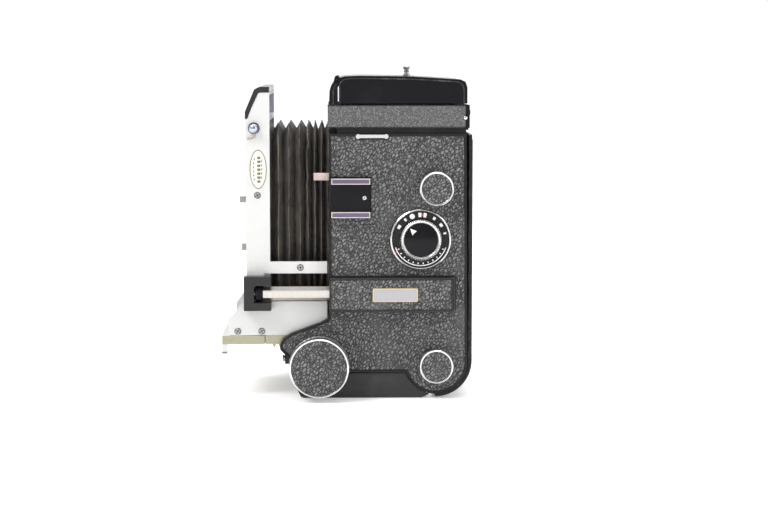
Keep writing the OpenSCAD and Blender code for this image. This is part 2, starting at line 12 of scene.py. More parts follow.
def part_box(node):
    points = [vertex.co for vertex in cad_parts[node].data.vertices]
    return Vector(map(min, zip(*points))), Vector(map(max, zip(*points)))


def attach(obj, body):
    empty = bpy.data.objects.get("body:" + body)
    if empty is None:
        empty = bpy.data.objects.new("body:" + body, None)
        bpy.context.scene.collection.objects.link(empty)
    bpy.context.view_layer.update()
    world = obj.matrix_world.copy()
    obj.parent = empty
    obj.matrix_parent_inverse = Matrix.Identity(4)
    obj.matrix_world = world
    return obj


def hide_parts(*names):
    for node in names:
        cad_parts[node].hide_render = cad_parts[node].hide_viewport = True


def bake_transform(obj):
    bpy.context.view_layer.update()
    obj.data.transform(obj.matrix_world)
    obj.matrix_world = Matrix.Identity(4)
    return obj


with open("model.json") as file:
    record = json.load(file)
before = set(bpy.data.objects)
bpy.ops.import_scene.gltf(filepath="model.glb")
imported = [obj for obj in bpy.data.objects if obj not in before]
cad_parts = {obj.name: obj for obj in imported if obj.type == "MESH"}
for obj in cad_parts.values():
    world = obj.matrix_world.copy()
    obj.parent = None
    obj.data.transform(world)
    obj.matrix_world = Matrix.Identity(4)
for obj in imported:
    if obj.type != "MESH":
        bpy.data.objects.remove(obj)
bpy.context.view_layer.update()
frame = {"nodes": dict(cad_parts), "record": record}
MM = 0.001
SEED = 7


def node_box(name):
    """The lowest and highest corner of a CAD node, in millimetres."""
    low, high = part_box(name)
    return Vector(low) / MM, Vector(high) / MM


def joint_place(name):
    """A joint's place in millimetres, from the frame."""
    joint = next(j for j in frame["record"]["behaviour"]["joints"] if j["name"] == name)
    return Vector(joint["pos_m"]) / MM


# ---- Materials ----


def feed(tree, node, inputs):
    """Sets or links each of a node's inputs, given by name or number."""
    for socket, value in inputs.items():
        if isinstance(value, bpy.types.NodeSocket):
            tree.links.new(value, node.inputs[socket])
        else:
            node.inputs[socket].default_value = value


def add_node(tree, kind, inputs, **settings):
    """Adds a node of a kind, with its settings and its inputs."""
    made = tree.nodes.new(kind)
    for key, value in settings.items():
        setattr(made, key, value)
    feed(tree, made, inputs)
    return made


class Look:
    """A material with one Principled shader, and helpers that add nodes to it."""

    def __init__(self, name, colour, roughness, metallic=0.0, coat=0.0, ior=1.5, gleam=0.5):
        self.material = bpy.data.materials.new(name)
        self.material.use_nodes = True
        self.tree = self.material.node_tree
        self.colour = (*colour, 1)
        self.shade({
            "Base Color": self.colour, "Roughness": roughness, "Metallic": metallic, "IOR": ior,
            "Specular IOR Level": gleam, "Coat Weight": coat, "Coat Roughness": 0.12,
        })
        self.normal = None
        self.place = self.node("ShaderNodeTexCoord", {}).outputs["Object"]

    def shade(self, inputs):
        feed(self.tree, self.tree.nodes["Principled BSDF"], inputs)

    def node(self, kind, inputs, **settings):
        return add_node(self.tree, kind, inputs, **settings)

    def slant(self, degrees, stretch):
        """Turns the texture space in X and Z and draws its features out along that slant."""
        turn = (0, math.radians(degrees), 0)
        turned = self.node("ShaderNodeMapping", {"Vector": self.place, "Rotation": turn})
        drawn = {"Vector": turned.outputs["Vector"], "Scale": (1 / stretch, 1, 1)}
        self.place = self.node("ShaderNodeMapping", drawn).outputs["Vector"]

    def noise(self, size_mm, detail=3.0, rough=0.55, stretch=(1, 1, 1)):
        """Noise from 0 to 1 with features of about size_mm."""
        mapping = self.node("ShaderNodeMapping", {"Vector": self.place, "Scale": stretch})
        inputs = {
            "Vector": mapping.outputs["Vector"], "Scale": 1 / (size_mm * MM), "Detail": detail,
            "Roughness": rough,
        }
        return self.node("ShaderNodeTexNoise", inputs).outputs["Fac"]

    def cells(self, size_mm):
        """Distance from the edges of pebbles of about size_mm, bent a little by noise."""
        warp = self.node("ShaderNodeTexNoise", {"Vector": self.place, "Scale": 0.7 / (size_mm * MM)})
        reach = {0: warp.outputs["Color"], "Scale": size_mm * MM * 0.8}
        spread = self.node("ShaderNodeVectorMath", reach, operation="SCALE")
        both = {0: self.place, 1: spread.outputs["Vector"]}
        moved = self.node("ShaderNodeVectorMath", both, operation="ADD")
        pebbles = {"Vector": moved.outputs["Vector"], "Scale": 1 / (size_mm * MM)}
        return self.node("ShaderNodeTexVoronoi", pebbles, feature="DISTANCE_TO_EDGE").outputs["Distance"]

    def ramp(self, value, low, high, start=0.0, end=1.0):
        """Maps value from low..high to start..end, clamped."""
        inputs = {"Value": value, "From Min": low, "From Max": high, "To Min": start, "To Max": end}
        return self.node("ShaderNodeMapRange", inputs, interpolation_type="SMOOTHSTEP").outputs["Result"]

    def math(self, operation, a, b):
        return self.node("ShaderNodeMath", {0: a, 1: b}, operation=operation).outputs[0]

    def tint(self, mask, colour):
        """Mixes colour in where mask is 1."""
        mix = self.node("ShaderNodeMix", {}, data_type="RGBA")
        factor, below, above = 0, 6, 7
        feed(self.tree, mix, {factor: mask, below: self.colour, above: (*colour, 1)})
        self.colour = mix.outputs[2]
        self.shade({"Base Color": self.colour})

    def rough(self, mask, low, high):
        """Roughness runs from low to high with mask."""
        self.shade({"Roughness": self.ramp(mask, 0.25, 0.75, low, high)})

    def bump(self, height, depth_mm, strength=1.0):
        inputs = {"Height": height, "Distance": depth_mm * MM, "Strength": strength}
        if self.normal is not None:
            inputs["Normal"] = self.normal
        self.normal = self.node("ShaderNodeBump", inputs).outputs["Normal"]
        self.shade({"Normal": self.normal})

    def edge(self, width_mm):
        """From 0 on flat faces to 1 on outer edges within width_mm."""
        bevelled = self.node("ShaderNodeBevel", {"Radius": width_mm * MM}, samples=6)
        flat = self.node("ShaderNodeNewGeometry", {})
        normals = {0: bevelled.outputs["Normal"], 1: flat.outputs["Normal"]}
        dot = self.node("ShaderNodeVectorMath", normals, operation="DOT_PRODUCT")
        return self.ramp(dot.outputs["Value"], 0.99, 0.8)

    def wear(self, colour, width_mm=0.35, amount=0.55, size_mm=4.0):
        """Edges tinted with a colour, broken up by noise: rubbed wear on the enamels, and a painted highlight
        on the chrome rails.
        """
        broken = self.ramp(self.noise(size_mm, 5.0, 0.7), 1 - amount, 1 - amount + 0.12)
        self.tint(self.math("MULTIPLY", self.edge(width_mm), broken), colour)

    def grime(self, colour, size_mm=18.0, low=0.45, high=0.75):
        self.tint(self.ramp(self.noise(size_mm, 6.0, 0.62), low, high), colour)


def scaled(colour, factor):
    return tuple(c * factor for c in colour)


def leather(name, colour, grain_mm, depth_mm, roughness, stretch, light, crease_shade):
    """Pressed leathercloth: slanting pebbles parted by narrow creases, with a painted highlight on the pebble
    tops and painted shade in the creases.
    """
    look = Look(name, colour, roughness, gleam=0.6)
    plain = look.place
    look.slant(52, stretch)
    edge = look.cells(grain_mm)
    folds = look.ramp(look.noise(grain_mm * 1.1, 2.0, 0.5, (0.7, 1, 1)), 0.35, 0.65)
    pebbles = look.ramp(edge, 0.02, 0.3)
    height = look.math("ADD", look.math("MULTIPLY", pebbles, 0.78), look.math("MULTIPLY", folds, 0.22))
    look.place = plain
    # painted highlight: the pebble tops are lightened by the light factor
    look.tint(look.ramp(height, 0.6, 1.0, 0.0, 0.9), scaled(colour, light))
    # painted shade: the colour in the creases is darkened
    look.tint(look.ramp(height, 0.58, 0.2), scaled(colour, crease_shade))
    look.grime(scaled(colour, 0.8), 30.0, 0.5, 0.8)
    look.rough(look.noise(6.0), roughness - 0.05, roughness + 0.1)
    look.bump(height, depth_mm)
    look.bump(look.noise(0.25, 2.0), 0.02, 0.5)
    return look.material


def enamel(name, colour, roughness, wear_colour=(0.45, 0.4, 0.32), wear=0.5, coat=0.0, gleam=0.3):
    """Stove enamel, rubbed through to wear_colour along its edges."""
    look = Look(name, colour, roughness, coat=coat, gleam=gleam)
    look.grime(tuple(min(1, c * 1.5 + 0.004) for c in colour), 22.0, 0.5, 0.8)
    if wear:
        look.wear(wear_colour, amount=wear)
    look.rough(look.noise(9.0, 5.0), roughness * 0.75, roughness * 1.5)
    look.bump(look.noise(0.9, 3.0), 0.012, 0.5)
    return look.material


def metal(name, colour, roughness, brush=(1, 1, 1), dirt=(0.25, 0.22, 0.18), edges=None):
    """Plated or turned metal: fine scratches one way, dirt in patches, and edges tinted bright as a painted
    highlight if given.
    """
    look = Look(name, colour, roughness, metallic=1.0)
    scratches = look.noise(0.5, 4.0, 0.6, brush)
    look.tint(look.ramp(scratches, 0.55, 0.8, 0.0, 0.35), scaled(colour, 0.8))
    look.tint(look.ramp(look.noise(7.0, 6.0, 0.7), 0.6, 0.85, 0.0, 0.7), dirt)
    if edges:
        # painted highlight: the edges are tinted bright in the given colour
        look.wear(edges, 0.45, 0.95)
    look.rough(scratches, roughness * 0.7, roughness * 1.5)
    look.bump(scratches, 0.01, 0.5)
    return look.material


def satin_plate(name):
    """Light satin enamel of the standard, lightly soiled and chipped at its edges."""
    look = Look(name, (0.62, 0.62, 0.61), 0.4, coat=0.05)
    look.grime((0.68, 0.66, 0.62), 14.0, 0.5, 0.85)
    look.tint(look.ramp(look.noise(1.1, 5.0, 0.8), 0.7, 0.78, 0.0, 0.6), (0.38, 0.33, 0.27))
    look.wear((0.35, 0.33, 0.3), 0.4, 0.5, 3.0)
    look.rough(look.noise(5.0), 0.3, 0.52)
    look.bump(look.noise(0.5, 3.0), 0.012, 0.6)
    return look.material


def bellows_leather(name):
    """Thin black leather, rubbed to brown and grey along the ridges by the ridge attribute."""
    look = Look(name, (0.045, 0.042, 0.039), 0.5, gleam=0.4)
    ridge = look.node("ShaderNodeAttribute", {}, attribute_name="ridge").outputs["Fac"]
    look.grime((0.075, 0.068, 0.06), 9.0, 0.4, 0.7)
    look.tint(look.ramp(look.noise(2.2, 5.0, 0.7, (3, 3, 0.25)), 0.5, 0.72, 0.0, 0.55), (0.12, 0.108, 0.095))
    patches = look.ramp(look.noise(5.0, 5.0, 0.75, (1, 1, 0.5)), 0.4, 0.55)
    rubbed = look.math("MULTIPLY", look.ramp(ridge, 0.55, 0.95), patches)
    look.tint(look.math("MULTIPLY", rubbed, 0.75), (0.3, 0.23, 0.18))
    chips = look.ramp(look.noise(0.9, 4.0, 0.7), 0.56, 0.66)
    look.tint(look.math("MULTIPLY", rubbed, chips), (0.5, 0.45, 0.39))
    look.rough(look.noise(3.0), 0.42, 0.62)
    look.bump(look.noise(0.8, 4.0, 0.7), 0.09)
    return look.material


def clear_glass(name, tint, sheen):
    """Coated lens glass: a dark reflecting body with a coloured sheen."""
    look = Look(name, tint, 0.03, coat=0.35, ior=1.45)
    look.shade({"Coat Roughness": 0.02})
    look.grime(scaled(sheen, 1.4), 12.0, 0.4, 0.8)
    look.bump(look.noise(30.0, 1.0), 0.02, 0.2)
    look.rough(look.noise(4.0), 0.02, 0.06)
    return look.material


def ground_screen(name):
    """Finely ground focusing glass, pale green and matt."""
    look = Look(name, (0.62, 0.66, 0.63), 0.55)
    look.grime((0.5, 0.54, 0.52), 20.0)
    look.bump(look.noise(0.15, 2.0), 0.02)
    look.rough(look.noise(2.0), 0.45, 0.65)
    return look.material


LOOK = {
    # The last two numbers of each leather are the painted highlight on the pebble tops and the painted shade
    # in the creases.
    "leather": leather("body_leather", (0.132, 0.133, 0.133), 1.25, 0.6, 0.34, 1.75, 1.6, 0.1),
    "fine_leather": leather("hood_leather", (0.106, 0.106, 0.107), 0.95, 0.16, 0.42, 1.6, 1.7, 0.5),
    "rim": enamel("rim_enamel", (0.012, 0.012, 0.013), 0.3, (0.3, 0.26, 0.21), 0.5, gleam=0.22),
    "worn_rim": enamel("worn_rim_enamel", (0.012, 0.012, 0.013), 0.3, (0.55, 0.38, 0.27), 0.62),
    "gloss": enamel("gloss_enamel", (0.006, 0.006, 0.008), 0.16, (0.35, 0.33, 0.3), 0.3, gleam=0.16),
    "bracket": enamel("bracket_enamel", (0.02, 0.02, 0.021), 0.3, (0.3, 0.28, 0.25), 0.4, gleam=0.3),
    "bead": enamel("bead_enamel", (0.02, 0.02, 0.022), 0.2, (0.55, 0.5, 0.44), 0.55, 0.25),
    "matt": enamel("matt_black", (0.016, 0.016, 0.017), 0.6, wear=0, gleam=0.2),
    "base": enamel("base_enamel", (0.03, 0.03, 0.032), 0.5, (0.16, 0.15, 0.14), 0.42),
    "plate": satin_plate("standard_enamel"),
    "frame": enamel("frame_enamel", (0.58, 0.6, 0.68), 0.35, (0.3, 0.28, 0.27), 0.3, gleam=0.5),
    "chrome": metal("satin_chrome", (0.6, 0.6, 0.6), 0.24, dirt=(0.2, 0.18, 0.15)),
    "bright": metal("bright_chrome", (0.74, 0.74, 0.73), 0.14, dirt=(0.36, 0.33, 0.3)),
    # painted highlight: the rails' edges and their edge bands are tinted pale pink-white
    "rail": metal("rail_chrome", (0.16, 0.145, 0.22), 0.34, (0.2, 1, 1), (0.06, 0.05, 0.07), (0.8, 0.7, 0.7)),
    "rail_edge": metal("painted_edge_highlight", (0.72, 0.62, 0.62), 0.3),
    "steel": metal("steel", (0.36, 0.36, 0.36), 0.36, (1, 1, 8)),
    "skirt": metal("knob_skirt", (0.2, 0.2, 0.21), 0.3),
    "ball": metal("ball_chrome", (0.42, 0.46, 0.58), 0.16, dirt=(0.2, 0.2, 0.24)),
    "silver": metal("silver_plate", (0.46, 0.455, 0.48), 0.42, (0.15, 1, 6)),
    "brass": metal("old_brass", (0.4, 0.375, 0.28), 0.42, (1, 7, 7), (0.22, 0.19, 0.09)),
    "rod": metal("rod_silver", (0.62, 0.605, 0.59), 0.35, (0.1, 4, 4), (0.6, 0.5, 0.36)),
    "bellows": bellows_leather("bellows_leather"),
    "glass": clear_glass("coated_glass", (0.004, 0.006, 0.012), (0.02, 0.012, 0.05)),
    "loupe": clear_glass("loupe_glass", (0.3, 0.34, 0.36), (0.35, 0.4, 0.42)),
    "screen": ground_screen("ground_screen"),
    "mirror": metal("mirror_silver", (0.9, 0.91, 0.92), 0.04, dirt=(0.7, 0.7, 0.68)),
    "plastic": enamel("spool_plastic", (0.03, 0.03, 0.033), 0.5, wear=0),
    "white": enamel("white_mark", (0.8, 0.8, 0.78), 0.5, wear=0),
    "paper": enamel("sticker_paper", (0.74, 0.74, 0.68), 0.55, wear=0),
    "red": enamel("red_mark", (0.6, 0.08, 0.06), 0.5, wear=0),
    "ink": enamel("olive_ink", (0.2, 0.17, 0.08), 0.5, wear=0),
    "gold": metal("gold_lines", (0.7, 0.55, 0.3), 0.4),
    "cream": enamel("cream_tab", (0.46, 0.37, 0.34), 0.45, (0.85, 0.83, 0.8), 0.8, 0.1),
}

# ---- Building blocks ----

DISPLAY_SMOOTH = math.radians(35)
SIDES = ((-1, "left", "-Y"), (1, "right", "Y"))

# A material slot name for each look, where the piece doesn't name its own; nothing in this script reads the
# table
SLOTS = {
    **dict.fromkeys(("rim", "worn_rim", "gloss", "bracket", "bead", "matt"), "black_enamel"),
    **dict.fromkeys(("chrome", "bright", "rail_edge", "steel", "skirt", "ball", "silver", "brass"), "chrome"),
    **dict.fromkeys(("white", "paper", "red"), "cream"),
    **dict.fromkeys(("gold", "ink"), "brass"),
    "leather": "leatherette", "rod": "rod_silver", "bellows": "bellows_leather",
    "glass": "glass", "loupe": "glass",
}


def smooth(obj, angle=DISPLAY_SMOOTH):
    """Smooth faces, with edges sharper than angle kept sharp."""
    mesh = obj.data
    mesh.shade_smooth()
    work = bmesh.new()
    work.from_mesh(mesh)
    for edge in work.edges:
        edge.smooth = len(edge.link_faces) == 2 and edge.calc_face_angle(0) < angle
    work.to_mesh(mesh)
    work.free()


def bevel(obj, width_mm, segments=2):
    """Rounds the edges between faces that meet at more than 30 degrees."""
    made = obj.modifiers.new("bevel", "BEVEL")
    made.width = width_mm * MM
    made.segments = segments
    made.limit_method = "ANGLE"
    made.angle_limit = math.radians(30)
    made.harden_normals = True


def place_piece(obj, look, body):
    """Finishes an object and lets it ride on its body."""
    obj.data.materials.append(LOOK[look])
    if body:
        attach(obj, body)


def piece(name, work, look, body, round_mm=0.0, segments=2, sharp=DISPLAY_SMOOTH):
    """Turns a bmesh in millimetres into a piece that rides on a body."""
    bmesh.ops.scale(work, vec=(MM, MM, MM), verts=work.verts)
    bmesh.ops.recalc_face_normals(work, faces=work.faces)
    mesh = bpy.data.meshes.new(name)
    work.to_mesh(mesh)
    work.free()
    obj = bpy.data.objects.new(name, mesh)
    bpy.context.scene.collection.objects.link(obj)
    smooth(obj, sharp)
    if round_mm:
        bevel(obj, round_mm, segments)
    place_piece(obj, look, body)
    return obj


AXES = {
    "X": (Vector((1, 0, 0)), Vector((0, 1, 0)), Vector((0, 0, 1))),
    "Y": (Vector((0, 1, 0)), Vector((1, 0, 0)), Vector((0, 0, 1))),
    "-Y": (Vector((0, -1, 0)), Vector((1, 0, 0)), Vector((0, 0, 1))),
    "Z": (Vector((0, 0, 1)), Vector((1, 0, 0)), Vector((0, 1, 0))),
}


# Faces of a knurl meet more sharply than this
KNURL_SHARP = math.radians(50)


def knurl(teeth, depth):
    """Square teeth round a turned grip, as lathe's wave."""
    return lambda angle: 1 + depth * math.copysign(1, math.sin(teeth * angle))


def lathe(profile, centre, axis="-Y", steps=96, wave=None, work=None):
    """Turns a closed profile of (radius, height) points about an axis through centre.

    wave(angle) multiplies the radius of points marked with a third value of True."""
    work = work or bmesh.new()
    along, across, up = AXES[axis]
    centre = Vector(centre)
    rings = []
    for step in range(steps):
        angle = 2 * math.pi * step / steps
        ring = []
        for point in profile:
            radius, height = point[:2]
            if len(point) > 2 and wave:
                radius *= wave(angle)
            out = across * math.cos(angle) + up * math.sin(angle)
            ring.append(work.verts.new(centre + out * radius + along * height))
        rings.append(ring)
    count = len(profile)
    for step in range(steps):
        ring, following = rings[step], rings[(step + 1) % steps]
        for i in range(count):
            j = (i + 1) % count
            work.faces.new((ring[i], ring[j], following[j], following[i]))
    bmesh.ops.remove_doubles(work, verts=work.verts, dist=1e-4)
    return work


# Where an outline's point (a, b) at depth c lies, for each plane
PLANES = {
    "XZ": lambda a, b, c: (a, c, b),
    "XY": lambda a, b, c: (a, b, c),
    "YZ": lambda a, b, c: (c, a, b),
}


def prism(outline, low, high, plane="XZ", work=None):
    """Extrudes an outline: plane XZ along Y, XY along Z, or YZ along X."""
    work = work or bmesh.new()
    place = PLANES[plane]
    bottom = [work.verts.new(place(a, b, low)) for a, b in outline]
    top = [work.verts.new(place(a, b, high)) for a, b in outline]
    work.faces.new(bottom)
    work.faces.new(list(reversed(top)))
    for i in range(len(outline)):
        j = (i + 1) % len(outline)
        work.faces.new((bottom[i], bottom[j], top[j], top[i]))
    return work


def rounded(x, z, radius):
    """Outline of a rectangle with round corners."""
    steps = 5
    points = []
    corners = [(x[1], z[1], 0), (x[0], z[1], 90), (x[0], z[0], 180), (x[1], z[0], 270)]
    for cx, cz, turn in corners:
        mx = cx - radius if cx == x[1] else cx + radius
        mz = cz - radius if cz == z[1] else cz + radius
        for step in range(steps + 1):
            angle = math.radians(turn + 90 * step / steps)
            points.append((mx + radius * math.cos(angle), mz + radius * math.sin(angle)))
    return points


def oval(centre, across, up, steps=48):
    """Outline of an ellipse, or of a circle where across and up are the same."""
    turns = [2 * math.pi * i / steps for i in range(steps)]
    return [(centre[0] + across * math.cos(a), centre[1] + up * math.sin(a)) for a in turns]


def wire(name, points, radius, look, body):
    """A bent wire along points, as a mesh tube with round ends."""
    curve = bpy.data.curves.new(name, "CURVE")
    curve.dimensions = "3D"
    curve.bevel_depth = radius * MM
    curve.bevel_resolution = 5
    curve.use_fill_caps = True
    spline = curve.splines.new("BEZIER")
    spline.bezier_points.add(len(points) - 1)
    for knot, point in zip(spline.bezier_points, points):
        knot.co = Vector(point) * MM
        knot.handle_left_type = knot.handle_right_type = "AUTO"
    shape = bpy.data.objects.new(name + "_path", curve)
    mesh = bpy.data.meshes.new_from_object(shape)
    mesh.name = name
    bpy.data.objects.remove(shape)
    obj = bpy.data.objects.new(name, mesh)
    bpy.context.scene.collection.objects.link(obj)
    mesh.materials.clear()
    smooth(obj)
    place_piece(obj, look, body)
    return obj


def dress(node, look, round_mm):
    """A CAD node keeps its shape, with softened edges and a finished material."""
    obj = frame["nodes"][node]
    obj.data.materials.clear()
    obj.data.materials.append(LOOK[look])
    if round_mm:
        bevel(obj, round_mm)


def ellipsoid(centre, radii, rings, steps):
    """A closed round head or ball."""
    work = bmesh.new()
    made = bmesh.ops.create_uvsphere(work, u_segments=steps, v_segments=rings, radius=1)
    for vert in made["verts"]:
        vert.co = Vector(centre) + Vector(a * b for a, b in zip(vert.co, radii))
    return work


def layer(side, near, far):
    """The two Y limits, in order, of a layer that lies near..far out on one side."""
    return sorted((side * near, side * far))


# ---- The body ----

# The side's leather and panel faces, the body's front and back edges, and its rounded heel
SKIN_Y = 42.7
PANEL_Y = 42.0
FRONT_X = -17.2
BACK_X = 55.1
HEEL = Vector((38.5, 19.0))
HEEL_R = 16.6


def body_outline(steps=18):
    """The body's side outline, clockwise from the top front corner, with its heel as an arc."""
    points = [(FRONT_X, 138.1), (BACK_X - 1, 138.1)]
    end = math.degrees(math.acos((22.9 - HEEL.x) / HEEL_R))
    for step in range(steps + 1):
        angle = math.radians(5 - (end + 5) * step / steps)
        points.append((HEEL.x + HEEL_R * math.cos(angle), HEEL.y + HEEL_R * math.sin(angle)))
    points += [(-32.2, 13.8), (-39, 21.6), (-42.4, 25.2), (-42.9, 27.0), (-42.4, 29.2), (-41.1, 31.5)]
    points += [(-37.4, 34.1), (-32.2, 36.1), (-21.8, 39.8), (-18.6, 41.6), (FRONT_X, 44.5)]
    return points


def inset(points, distance):
    """Moves each side of a clockwise outline inwards by distance, with mitred corners."""
    result = []
    count = len(points)
    for i in range(count):
        before, here, after = (Vector(points[(i + k) % count]) for k in (-1, 0, 1))
        first = (here - before).normalized()
        second = (after - here).normalized()
        normal = Vector((first.y, -first.x)) + Vector((second.y, -second.x))
        normal.normalize()
        cosine = max(0.35, normal.dot(Vector((first.y, -first.x))))
        result.append(here + normal * distance / cosine)
    return result


def ring_wall(outer, inner, low, high, plane="XZ", closed=True):
    """A flat band between two outlines with the same number of points."""
    work = bmesh.new()
    loops = [
        [work.verts.new(PLANES[plane](*point, depth)) for point in outline]
        for outline, depth in ((outer, low), (outer, high), (inner, high), (inner, low))
    ]
    count = len(outer)
    for i in range(count if closed else count - 1):
        j = (i + 1) % count
        for a, b in ((0, 1), (1, 2), (2, 3), (3, 0)):
            work.faces.new((loops[a][i], loops[b][i], loops[b][j], loops[a][j]))
    if not closed:
        work.faces.new([loop[0] for loop in loops])
        work.faces.new([loop[-1] for loop in reversed(loops)])
    return work


def body_pieces():
    """The look of each CAD node, and how far its edges are rounded in millimetres."""
    for node, look, round_mm in (
        ("body_casting", "matt", 0), ("left_side_panel", "rim", 0.3), ("right_side_panel", "rim", 0.3),
        ("left_leatherette", "leather", 0.3), ("right_leatherette", "leather", 0.3),
        ("front_apron", "base", 0.3), ("base_plate", "base", 0.5), ("tripod_socket", "chrome", 0.2),
        ("accessory_shoe", "rail", 0.2), ("scale_housing", "rim", 0.4), ("index_tab", "cream", 0.2),
        ("strap_lugs", "bright", 0.25), ("screen_frame", "matt", 0.2), ("focusing_screen", "screen", 0.1),
        ("reflex_mirror", "mirror", 0), ("hood_base", "fine_leather", 0.5),
        ("hood_front_wall", "gloss", 0.25), ("hinge_pin", "chrome", 0.1), ("light_baffle", "matt", 0.1),
        ("film_roller_lower", "steel", 0.2), ("film_roller_upper", "steel", 0.2),
        ("supply_spool", "plastic", 0.2), ("take_up_spool", "plastic", 0.2),
        ("pressure_plate", "steel", 0.2), ("back_door", "rim", 0.3), ("back_latch", "rim", 0.3),
        ("shutter_button", "steel", 0.25), ("winding_crank", "chrome", 0.35),
        ("crank_handle", "matt", 0.4), ("hood_lid", "gloss", 0.3),
        ("left_hood_flap", "matt", 0.15), ("right_hood_flap", "matt", 0.15),
        ("rear_hood_flap", "matt", 0.15), ("standard_side_plates", "plate", 0.3),
        ("standard_frame", "frame", 0.3), ("standard_cap", "gloss", 0.35), ("focusing_bed", "brass", 0.4),
        ("focus_racks", "brass", 0), ("focus_shaft", "steel", 0), ("scale_bracket", "bracket", 0.8),
        ("lens_board", "matt", 0.3), ("aperture_lever", "steel", 0.15), ("cocking_lever", "steel", 0.2),
    ):
        dress(node, look, round_mm)


def raised_rims():
    """The raised enamel rim round each side's leather, parted on the left where the rod goes in."""
    gate = joint_place("distance_rod_turn").z
    half_gate = 4.6
    width = 1.35
    for side, name, _ in SIDES:
        outer = body_outline()
        if name == "left":
            outer = [(FRONT_X, gate + half_gate)] + outer + [(FRONT_X, gate - half_gate)]
        depth = layer(side, PANEL_Y, SKIN_Y + 0.25)
        work = ring_wall(outer, inset(outer, width), *depth, closed=name == "right")
        piece(f"{name}_panel_rim", work, "rim", "camera", 0.3, 3)


def door_skin():
    """Leather on the outside of the door, round its heel."""
    high = node_box("back_door")[1]
    centre = Vector((high.x - 18.6, 19.2))
    half_width = 39.4
    lowest = 0.25
    outline = [(high.x + 0.5, high.z - 2.5), (high.x - 0.1, high.z - 2.5)]
    turns = [math.radians(-84 * i / 16) for i in range(17)]
    for radius, path in ((18.5, turns), (19.1, turns[::-1])):
        outline += [(centre.x + radius * math.cos(a), centre.y + radius * math.sin(a)) for a in path]
    outline = [(x, max(z, lowest)) for x, z in outline]
    piece("door_leather", prism(outline, -half_width, half_width), "leather", "door", 0.2)


def margin(x, z, left, right, top, radius):
    """Round-cornered outline grown past a rectangle by left, right, and top and bottom alike."""
    return rounded((x[0] - left, x[1] + right), (z[0] - top, z[1] + top), radius)


def housing_dressing():
    """Leather inlay, worn rim, foot and silver window plate on the distance scale's housing."""
    low, high = node_box("scale_housing")
    face = low.y
    x, z = (low.x, high.x), (low.z, high.z)
    inlay = margin(x, z, -0.9, -1.7, -1.2, 1.0)
    piece("housing_leather", prism(inlay, face - 0.3, face + 0.1), "leather", "camera", 0.12)
    rim = ring_wall(rounded(x, z, 1.6), margin(x, z, -0.9, -1.5, -1.1, 1.0), face - 0.55, face + 0.1)
    piece("housing_rim", rim, "worn_rim", "camera", 0.2)
    front, back, below, above = x[0] + 0.4, x[1] + 1.0, z[0] - 0.8, z[1] + 0.8
    width, cut = 1.2, 0.35
    foot = [
        (front, above), (back - width, above), (back - cut, above - cut), (back, above - width),
        (back, below + width), (back - cut, below + cut), (back - width, below), (front, below),
        (front, below + width), (back - width, below + width), (back - width, above - width),
        (front, above - width),
    ]
    piece("housing_foot", prism(foot, -SKIN_Y - 0.5, -SKIN_Y + 0.3), "worn_rim", "camera", 0.2)
    low, high = node_box("scale_plate")
    x, z = (low.x, high.x), (low.z, high.z)
    border = ring_wall(margin(x, z, 0.3, 0.3, 0.3, 0.8), margin(x, z, -0.3, -0.3, -0.3, 0.4),
                       face - 0.7, face - 0.1)
    piece("scale_window_frame", border, "gold", "camera", 0.12)
    plate = piece("scale_window_plate", prism(rounded(x, z, 0.6), face - 0.5, face), "silver", "camera", 0.1)
    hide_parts("scale_plate")


def shoe_dressing():
    """Black bed plate between the chrome rails, pale bands on the rails' edges as a painted highlight, and
    the slotted screw.
    """
    low, high = node_box("accessory_shoe")
    middle = (low.z + high.z) / 2
    back = -SKIN_Y - 0.7
    rail = 3.1
    x = (low.x, high.x)
    bed = margin(x, (low.z, high.z), 0.1, 0.1, -1.2, 0.4)
    piece("shoe_bed", prism(bed, back - 0.25, back + 0.9), "gloss", "camera", 0.1)
    # painted highlight: a pale pink-white band round the edge of each rail
    for name, z in (("lower", (low.z, low.z + rail)), ("upper", (high.z - rail, high.z))):
        band = ring_wall(rounded(x, z, 0.35), margin(x, z, -0.5, -0.5, -0.5, 0.2), low.y - 0.1, low.y + 0.2)
        piece(f"shoe_{name}_edge", band, "rail_edge", "camera", 0.1)
    screw_head("shoe_screw", (high.x - 2.9, back - 0.25, middle), 1.15, 20, "camera", "-Y", "bright")


def screw_head(name, place, radius, turn, body, axis="-Y", look="steel"):
    """A low domed head cut by two crossing slots, in a dark seat."""
    along, across, up = AXES[axis]
    place = Vector(place)
    turn = math.radians(turn)
    half_slot = radius * 0.1
    start = math.asin(half_slot / radius)
    arc = [start + (math.pi / 2 - 2 * start) * i / 7 for i in range(8)]
    levels = ((1.0, -0.1), (1.0, 0.28), (0.86, 0.5))
    work = bmesh.new()
    for quarter in range(4):
        angle = turn + math.pi / 2 * quarter
        first = across * math.cos(angle) + up * math.sin(angle)
        second = up * math.cos(angle) - across * math.sin(angle)
        rings = []
        for scale, height in levels:
            outline = [(half_slot, half_slot)]
            outline += [(radius * scale * math.cos(a), radius * scale * math.sin(a)) for a in arc]
            middle = place + along * height
            rings.append([work.verts.new(middle + first * a + second * b) for a, b in outline])
        for below, above in zip(rings, rings[1:]):
            for i in range(len(below)):
                j = (i + 1) % len(below)
                work.faces.new((below[i], below[j], above[j], above[i]))
        work.faces.new(rings[-1])
        work.faces.new(rings[0][::-1])
    head = piece(name, work, look, body, sharp=math.radians(25))
    seat = [(0, -0.1), (radius + 0.22, -0.1), (radius + 0.22, 0.06), (radius, 0.1), (0, 0.1)]
    piece(name + "_seat", lathe(seat, place, axis, 32), "matt", body)
    return head


# ---- Knobs and dials ----


